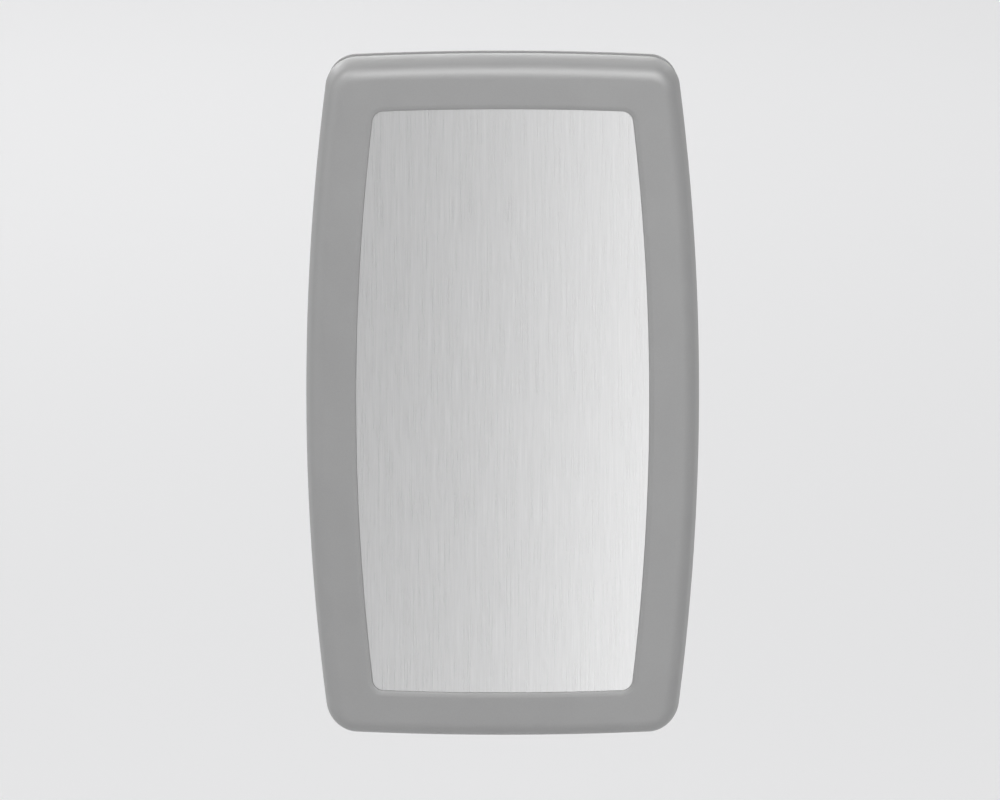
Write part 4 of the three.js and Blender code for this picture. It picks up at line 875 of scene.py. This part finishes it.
crossHead, plainHead = fixingTree("crossHead", True), fixingTree("plainHead", False)
fixings = {  # sizes in the order of headSizes
    "shell_fixings": {"solid": "shell_screw", "tree": crossHead, "finish": zincPlate, "turn": 90,
                      "body": "wall_unit", "slot": "plated_steel", "sizes": (6, 1.2, 2.3, 3, 16, 7, 1.6)},
    "tray_fixings": {"solid": "liner_screw", "tree": crossHead, "finish": zincPlate, "turn": -90,
                     "body": "bed", "slot": "plated_steel", "sizes": (5, 0.7, 1.3, 2, 16, 5.6, 1.3)},
    "rubber_buttons": {"solid": "bumper", "tree": plainHead, "finish": blackRubber, "turn": 90,
                       "body": "wall_unit", "slot": "black_rubber", "sizes": (7.5, 1.0, 1.4, 3, 6, 0, 0)},
}
for name, f in fixings.items():
    sizes = dict(zip(headSizes, f["sizes"]))
    tall = sizes["Rim"] + sizes["Dome"]
    solids = numbered(f["solid"])
    points = []
    for solid in solids:
        middle, low, high = whereIs(solid)
        points.append((middle.x, low.y + tall if f["turn"] > 0 else high.y - tall, middle.z))
    others = {"Facing": (math.radians(f["turn"]), 0, 0), "Finish": f["finish"]}
    settle(grow(name, f["tree"], points, [], sizes, others), f["finish"], f["body"], solids)
print("screws and rubber buttons")


# straps: each half loops its buckle bar with a sewn tail, lies along the tray and loops its anchor
def curveTo(start, leave, end, arrive, reach, steps=8):
    a, b = Vector(start), Vector(end)
    p, q = a + Vector(leave) * reach, b - Vector(arrive) * reach
    path = []
    for i in range(1, steps):
        t = i / steps
        path.append((1 - t) ** 3 * a + 3 * (1 - t) ** 2 * t * p + 3 * (1 - t) * t * t * q + t ** 3 * b)
    return [tuple(point) for point in path]


def loopRadius(bar):
    return bar + strap["loopGap"] + strap["thickness"] / 2


strapFloorY = trayFloorY + strap["lay"]
barY = strapFloorY + loopRadius(strap["buckleBar"])
tailY = strapFloorY + strap["thickness"] + strap["tailGap"]


def strapPath(barX, anchorX):
    s, (slotX, slotY) = strap, strapSlot
    loop, leave = loopRadius(s["buckleBar"]), math.radians(s["buckleLeave"])
    tailX, sewn = barX + s["tail"], (barX + s["sewnFrom"], tailY)
    path = [(tailX, tailY), (tailX - s["tailFlat"], tailY), sewn]
    start, arrive = onCircle((barX, barY), loop, leave), (-math.sin(leave), math.cos(leave))
    path += curveTo(sewn, (-1, 0), start, arrive, s["tailPull"])
    path += sweepArc((barX, barY), loop, leave, math.pi * 1.5, s["buckleSteps"])
    flat, steps = s["floorEnd"] - barX, s["floorSteps"]
    path += [(barX + flat * i / steps, strapFloorY) for i in range(steps)]
    climb = 1 - s["slotShare"] - s["slotEase"]
    path += [traySide(1 - climb * i / s["sideSteps"]) for i in range(s["sideSteps"] + 1)]
    slope = (Vector(path[-1]) - Vector(path[-2])).normalized()
    through, behind = (slotX + s["slotPast"], slotY), (s["behind"], slotY)
    path += curveTo(path[-1], slope, through, (1, 0), s["slotPull"], s["slotSteps"]) + [through, behind]
    anchor, loop = (anchorX, slotY), loopRadius(s["anchorBar"])
    over, under = math.radians(s["anchorOver"]), math.radians(s["anchorUnder"])
    top, foot = onCircle(anchor, loop, over), onCircle(anchor, loop, under)
    path += curveTo(behind, (1, 0), top, (math.sin(over), -math.cos(over)), s["anchorPull"])
    path += sweepArc(anchor, loop, over, under, s["anchorSteps"])
    end = (s["endFrom"], slotY - s["thickness"] - s["endGap"])
    path += [foot] + curveTo(foot, (math.sin(under), -math.cos(under)), end, (-1, 0), s["endPull"])
    return path + [end, (s["end"], end[1])]


# the web's length and width go to its UV map in millimetres, so its ribs follow it round the bars
def makeStrap(side, barX, body):
    sign = -1 if side == "left" else 1
    middle, low, high = whereIs(f"strap_anchor_{side}")
    path = strapPath(barX, min(abs(low.x), abs(high.x)) + strap["anchorBar"])
    section = roundRect(tray["strapWidth"], strap["thickness"], strap["edge"], 0, 0, 3)
    bent = [(sign * x, y, tray["strapZ"]) for x, y in path]
    piece = sweep(f"web_strap_{side}", bent, (0, 0, 1), lambda share: section)
    runs = [0]
    for before, after in zip(path, path[1:]):
        runs.append(runs[-1] + math.dist(before, after))
    cloth = piece.data.uv_layers.new(name="web")
    for corner in piece.data.loops:
        station, point = divmod(corner.vertex_index, len(section))
        cloth.data[corner.index].uv = (section[point][0], runs[station])
    settle(piece, webbing, body, [f"strap_{side}"])
    return piece


# stitches: thread beads set along a sewn line
stitch = {"sizes": {"Pitch": 3.0, "Length": 2.4, "Width": 1.0},
          "from": 13, "inset": 4, "halfWidth": 14.5, "proud": 0.1}


def stitchTree():
    tree, add, given = newTree("stitchLine", stitch["sizes"])
    line = add("GeometryNodeMeshToCurve", links={"Mesh": given["Geometry"]})
    spots = add("GeometryNodeCurveToPoints", {"mode": "LENGTH"}, {"Curve": line, "Length": given["Pitch"]})
    bead = add("GeometryNodeMeshUVSphere", {"Segments": 8, "Rings": 5, "Radius": 0.5})
    size = add("ShaderNodeCombineXYZ", links={"X": given["Width"], "Y": given["Width"], "Z": given["Length"]})
    sewn = add("GeometryNodeInstanceOnPoints", links={
        "Points": spots, "Instance": bead, "Rotation": spots.outputs["Rotation"], "Scale": size})
    closeTree(add, sewn, given["Finish"])
    return tree


# a box with a cross in it, sewn through the tail and the strap below
def sewTail(side, barX, body):
    sign = -1 if side == "left" else 1
    y = tailY + strap["thickness"] / 2 + stitch["proud"]
    near, far = barX + stitch["from"], barX + strap["tail"] - stitch["inset"]
    low, high = tray["strapZ"] - stitch["halfWidth"], tray["strapZ"] + stitch["halfWidth"]
    box = [(sign * x, y, z) for x, z in ((near, low), (far, low), (far, high), (near, high))]
    edges = [(0, 1), (1, 2), (2, 3), (3, 0), (4, 6), (5, 7)]
    seam = grow(f"strap_stitches_{side}", sewing, box + box, edges, stitch["sizes"], {"Finish": thread})
    settle(seam, thread, body)


buckle = {"width": 46, "thick": 13, "corner": 6, "soft": 2.5, "socket": 33, "gap": 0.3, "tongue": 14,
          "reach": 11, "bar": 2.5, "arm": 2.5, "armInside": 20.5, "armSoft": 0.8, "armCorner": 1.2,
          "prong": 22, "prongWidth": 6, "prongThick": 5, "prongSoft": 0.7, "prongFlat": 0.1,
          "rows": (-13.6, 0, 13.6), "mouth": 39.2, "play": 0.6, "window": 5.5,
          "ribs": 4, "rib": 1.0, "ribHalf": 12, "ribFrom": -27.5, "ribPitch": 3.2, "ribRise": 0.45,
          "ribSides": 16}
tongueBarX = buckle["gap"] + buckle["tongue"] + buckle["reach"]
socketBarX = buckle["socket"] + buckle["reach"]
buckleFloor = trayFloorY + buckle["gap"]
buckleTop = buckleFloor + buckle["thick"]
buckleMiddle = buckleFloor + buckle["thick"] / 2
sewing = stitchTree()
makeStrap("left", socketBarX, "bed")
sewTail("left", socketBarX, "bed")
rightStrap = makeStrap("right", tongueBarX, None)  # this half rides on no body; it lies between the tray and the tongue
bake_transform(rightStrap)
sewTail("right", tongueBarX, "buckle_tongue")
print("straps")


# buckle: a socket with windows in its sides and a three pronged tongue, each with a bar for the strap
def buckleBlock(name, low, high):
    edges = roundedBoth(buckle["soft"], buckleFloor, buckleTop)
    return plate(name, high - low, buckle["width"], buckle["corner"], (low + high) / 2, tray["strapZ"], edges)


def buckleEnd(bodyX, barX):
    b, z = buckle, tray["strapZ"]
    low, high = sorted((bodyX, barX))
    edges = roundedBoth(b["armSoft"], *span(barY, b["bar"]))
    long, half = high - low + 2 * b["bar"], b["armInside"] + b["arm"] / 2
    arms = [plate("tool", long, b["arm"], b["armCorner"], (low + high) / 2, z + side * half, edges)
            for side in (-1, 1)]
    return arms + [barTool("Z", b["bar"], *span(z, half), barX, barY, smallSides)]


def makeBuckle():
    b, z = buckle, tray["strapZ"]
    socket = buckleBlock("strap_socket", -b["socket"], 0)
    carve(socket, buckleEnd(-b["socket"], -socketBarX), "UNION")
    throat = span(buckleMiddle, b["prongThick"] / 2 + b["play"])
    cuts = [boxTool((-b["prong"] - b["play"], past), throat, span(z, b["mouth"] / 2)),
            boxTool((-b["prong"] + b["window"], -b["window"]), throat, span(z, b["width"]))]
    for i in range(b["ribs"]):
        ribX, ribY = b["ribFrom"] + b["ribPitch"] * i, buckleTop + b["ribRise"]
        cuts.append(barTool("Z", b["rib"], *span(z, b["ribHalf"]), ribX, ribY, b["ribSides"]))
    carve(socket, cuts)
    settle(socket, acetal, "bed", ["buckle_socket"])
    end = b["gap"] + b["tongue"]
    tongue = buckleBlock("strap_tongue", b["gap"], end)
    carve(tongue, buckleEnd(end, tongueBarX), "UNION")
    edges = roundedBoth(b["prongSoft"], *span(buckleMiddle, b["prongThick"] / 2))
    long, wide = b["prong"] + b["gap"] + b["corner"], b["prongWidth"]
    tip, x = wide / 2 - b["prongFlat"], long / 2 - b["prong"]
    carve(tongue, [plate("tool", long, wide, tip, x, z + row, edges) for row in b["rows"]], "UNION")
    settle(tongue, acetal, "buckle_tongue", ["buckle_tongue"])


makeBuckle()
print("buckle")

# hinge: a round rod with its clips, flanged bushes in the bed's ears and rubber pads that stop the open bed
turned = {"rodBevel": 1.0, "clipBore": 6.2, "clip": 8.4, "clipGap": 4.2, "bushBore": 6.25, "bush": 8.1,
          "bushFlange": 10.5, "flange": 1.5, "padEdge": 1.2}


def makeHinge():
    t, y, z = turned, hinge["y"], hinge["z"]
    reach, bevel = hinge["rodReach"], t["rodBevel"]
    rod = [(hinge["rod"] - bevel, -reach), (hinge["rod"], bevel - reach), (hinge["rod"], reach - bevel),
           (hinge["rod"] - bevel, reach)]
    settle(lathe("hinge_axle", "X", rod, y, z), zincPlate, "wall_unit", ["hinge_rod"])
    for side in ("left", "right"):
        middle, low, high = whereIs(f"rod_clip_{side}")
        profile = [(t["clipBore"], low.x), (t["clip"], low.x), (t["clip"], high.x), (t["clipBore"], high.x)]
        clip = lathe(f"axle_clip_{side}", "X", profile, y, z, largeSides, True)
        carve(clip, [boxTool((low.x - past, high.x + past), span(y, t["clipGap"]), (z - clear, z))])
        settle(clip, blackEnamel, "wall_unit", [f"rod_clip_{side}"])
        middle, low, high = whereIs(f"stop_pad_{side}")
        wide = (high.x - low.x) / 2
        face = [(wide - inner, along) for inner, along in rounded(t["padEdge"], low.y, 1)]
        pad = lathe(f"heel_pad_{side}", "Y", face + [(wide, high.y)], middle.x, middle.z)
        settle(pad, blackRubber, "wall_unit", [f"stop_pad_{side}"])
    for solid in numbered("hinge_bush"):
        middle, low, high = whereIs(solid)
        ear = min(hinge["bedEars"], key=lambda x: abs(x - middle.x))
        near, far = sorted((low.x, high.x), key=lambda x: abs(x - ear))
        step = far - math.copysign(t["flange"], far - near)
        profile = [(t["bushBore"], near), (t["bush"], near), (t["bush"], step), (t["bushFlange"], step),
                   (t["bushFlange"], far), (t["bushBore"], far)]
        bush = lathe(solid.replace("hinge", "ear"), "X", profile, y, z, meeting=True)
        settle(bush, nylon, "bed", [solid])


makeHinge()
print("hinge")

# chassis: a flanged plate on the wall with screw posts, hinge ears and two lugs for the strut; its holes are
# placed from its top, from the middle and from its foot
chassis = {"width": 440, "top": 50, "foot": 20, "corner": 20, "thick": 3, "edge": 0.4, "flange": 12,
           "root": 0.2, "post": 8, "bore": 3.3, "boreDepth": 15.7, "earFoot": 45, "rodHole": 6.3, "lug": 9,
           "lugX": 9.5, "lugThick": 4, "strutY": -20, "strutRise": 210, "pinHole": 4.3,
           "lightHole": {"radius": 30, "x": 110, "fromTop": 94, "middle": -88, "fromFoot": 164},
           "wallHole": {"radius": 4.5, "x": 165, "fromTop": 29, "middle": -30, "fromFoot": 59}}


def earOutline(y, z, radius, plateY, foot):
    away = math.copysign(1, y - plateY)
    turns = [math.pi * i / noseSteps for i in range(noseSteps + 1)]
    nose = [(y + away * radius * math.sin(a), z - radius * math.cos(a)) for a in turns]
    return [(plateY, z - radius)] + nose + [(y - away * radius, z + radius), (plateY, z + foot)]


def sideFlanges(half, thick, y, z):
    return [boxTool(sorted((side * half, side * (half - thick))), y, z) for side in (-1, 1)]


def makeChassis():
    c, y, z, edge, thick = chassis, hinge["y"], hinge["z"], chassis["edge"], chassis["thick"]
    top, foot = case["halfHeight"] - c["top"], c["foot"] - case["halfHeight"]
    half, middleY, strutZ = c["width"] / 2, -thick / 2, z + c["strutRise"]
    edges = [(edge, -thick), (0, edge - thick), (0, -edge), (edge, 0)]
    body = plate("wall_plate", c["width"], top - foot, c["corner"], 0, (top + foot) / 2, edges)
    upright = (z + c["earFoot"], top - c["corner"])
    parts = sideFlanges(half, thick, (-thick - c["flange"], -c["root"]), upright)
    ear = earOutline(y, z, hinge["chassisEarRadius"], middleY, c["earFoot"])
    parts += [sideSlab(ear, x, hinge["ear"]) for x in hinge["chassisEars"]]
    lug = earOutline(c["strutY"], strutZ, c["lug"], middleY, c["lug"])
    parts += [sideSlab(lug, x, c["lugThick"]) for x in (-c["lugX"], c["lugX"])]
    cuts = [barTool("X", c["rodHole"], -half, half, y, z),
            barTool("X", c["pinHole"], -clear, clear, c["strutY"], strutZ)]
    spots, postFront = middles("shell_screw"), shellPanelY + wallShell["wall"] + bedShell["gap"]
    parts += bores(spots, c["post"], postFront, middleY, plainSides)
    cuts += bores(spots, c["bore"], postFront - past, postFront + c["boreDepth"], smallSides)
    for side in (-1, 1):
        for hole, sides in ((c["lightHole"], largeSides), (c["wallHole"], smallSides)):
            for holeZ in (top - hole["fromTop"], hole["middle"], foot + hole["fromFoot"]):
                cuts.append(barTool("Y", hole["radius"], -thick - past, past, side * hole["x"], holeZ, sides))
    carve(body, parts, "UNION")
    carve(body, cuts)
    settle(body, galvanisedSteel, "wall_unit", ["mounting_chassis"])


makeChassis()
print("chassis")

# bed frame: a flanged plate behind the veneer with four hinge ears and a forked lever for the strut
bedFrame = {"halfWidth": 200, "foot": 29, "length": 400, "corner": 5, "edge": 0.4, "thick": 2.5, "flange": 18,
            "earFoot": 60, "bushHole": 8.3, "rodHole": 6.3, "pinHole": 4.3, "leverX": 10, "leverAngle": -55,
            "leverHalf": 9, "leverReach": 15, "lightHole": 26, "lightX": 115, "lightRises": (80, 200, 320)}


def makeBedFrame():
    f, y, z, edge, thick = bedFrame, hinge["y"], hinge["z"], bedFrame["edge"], bedFrame["thick"]
    front = whereIs("bed_frame")[1].y
    rear, half, reach = front + thick, f["halfWidth"], f["leverReach"]
    foot = f["foot"] - case["halfHeight"]
    top = foot + f["length"]
    edges = [(edge, front), (0, front + edge), (0, rear)]
    body = plate("bed_carrier", 2 * half, f["length"], f["corner"], 0, (top + foot) / 2, edges)
    upright = (foot + f["corner"], top - f["corner"])
    parts = sideFlanges(half, thick, (front + edge, rear + f["flange"]), upright)
    turn, quarter = math.radians(f["leverAngle"]), math.pi / 2
    pinY, pinZ = onCircle((y, z), hinge["leverRadius"], turn)
    ear = earOutline(y, z, hinge["bedEarRadius"], front + thick / 2, f["earFoot"])
    arm = sweepArc((y, z), f["leverHalf"], turn + quarter, turn + 3 * quarter, noseSteps)
    arm += sweepArc((pinY, pinZ), f["leverHalf"], turn - quarter, turn + quarter, noseSteps)
    fork = (-f["leverX"], f["leverX"])
    parts += [sideSlab(ear, x, hinge["ear"]) for x in hinge["bedEars"] + fork]
    parts += [sideSlab(arm, x, hinge["ear"]) for x in fork]
    cuts = [barTool("X", f["rodHole"], -reach, reach, y, z),
            barTool("X", f["pinHole"], -reach, reach, pinY, pinZ)]
    cuts += [barTool("X", f["bushHole"], *span(x, hinge["ear"]), y, z) for x in hinge["bedEars"]]
    for side in (-1, 1):
        for rise in f["lightRises"]:
            x, holeZ = side * f["lightX"], foot + rise
            cuts.append(barTool("Y", f["lightHole"], front - past, rear + past, x, holeZ, largeSides))
    carve(body, parts, "UNION")
    carve(body, cuts)
    settle(body, galvanisedSteel, "bed", ["bed_frame"])


makeBedFrame()
print("bed frame")

# solids that keep their shape
kept = {
    "strap_anchor_left": zincPlate, "strap_anchor_right": zincPlate,
    "strut_barrel": blackEnamel, "barrel_eye": zincPlate, "strut_rod": zincPlate, "rod_eye": zincPlate,
    "strut_anchor_pin": zincPlate, "lever_pin": zincPlate,
}
for solid, finish in kept.items():
    nodes[solid].material_slots[0].material = finish
print("kept solids")
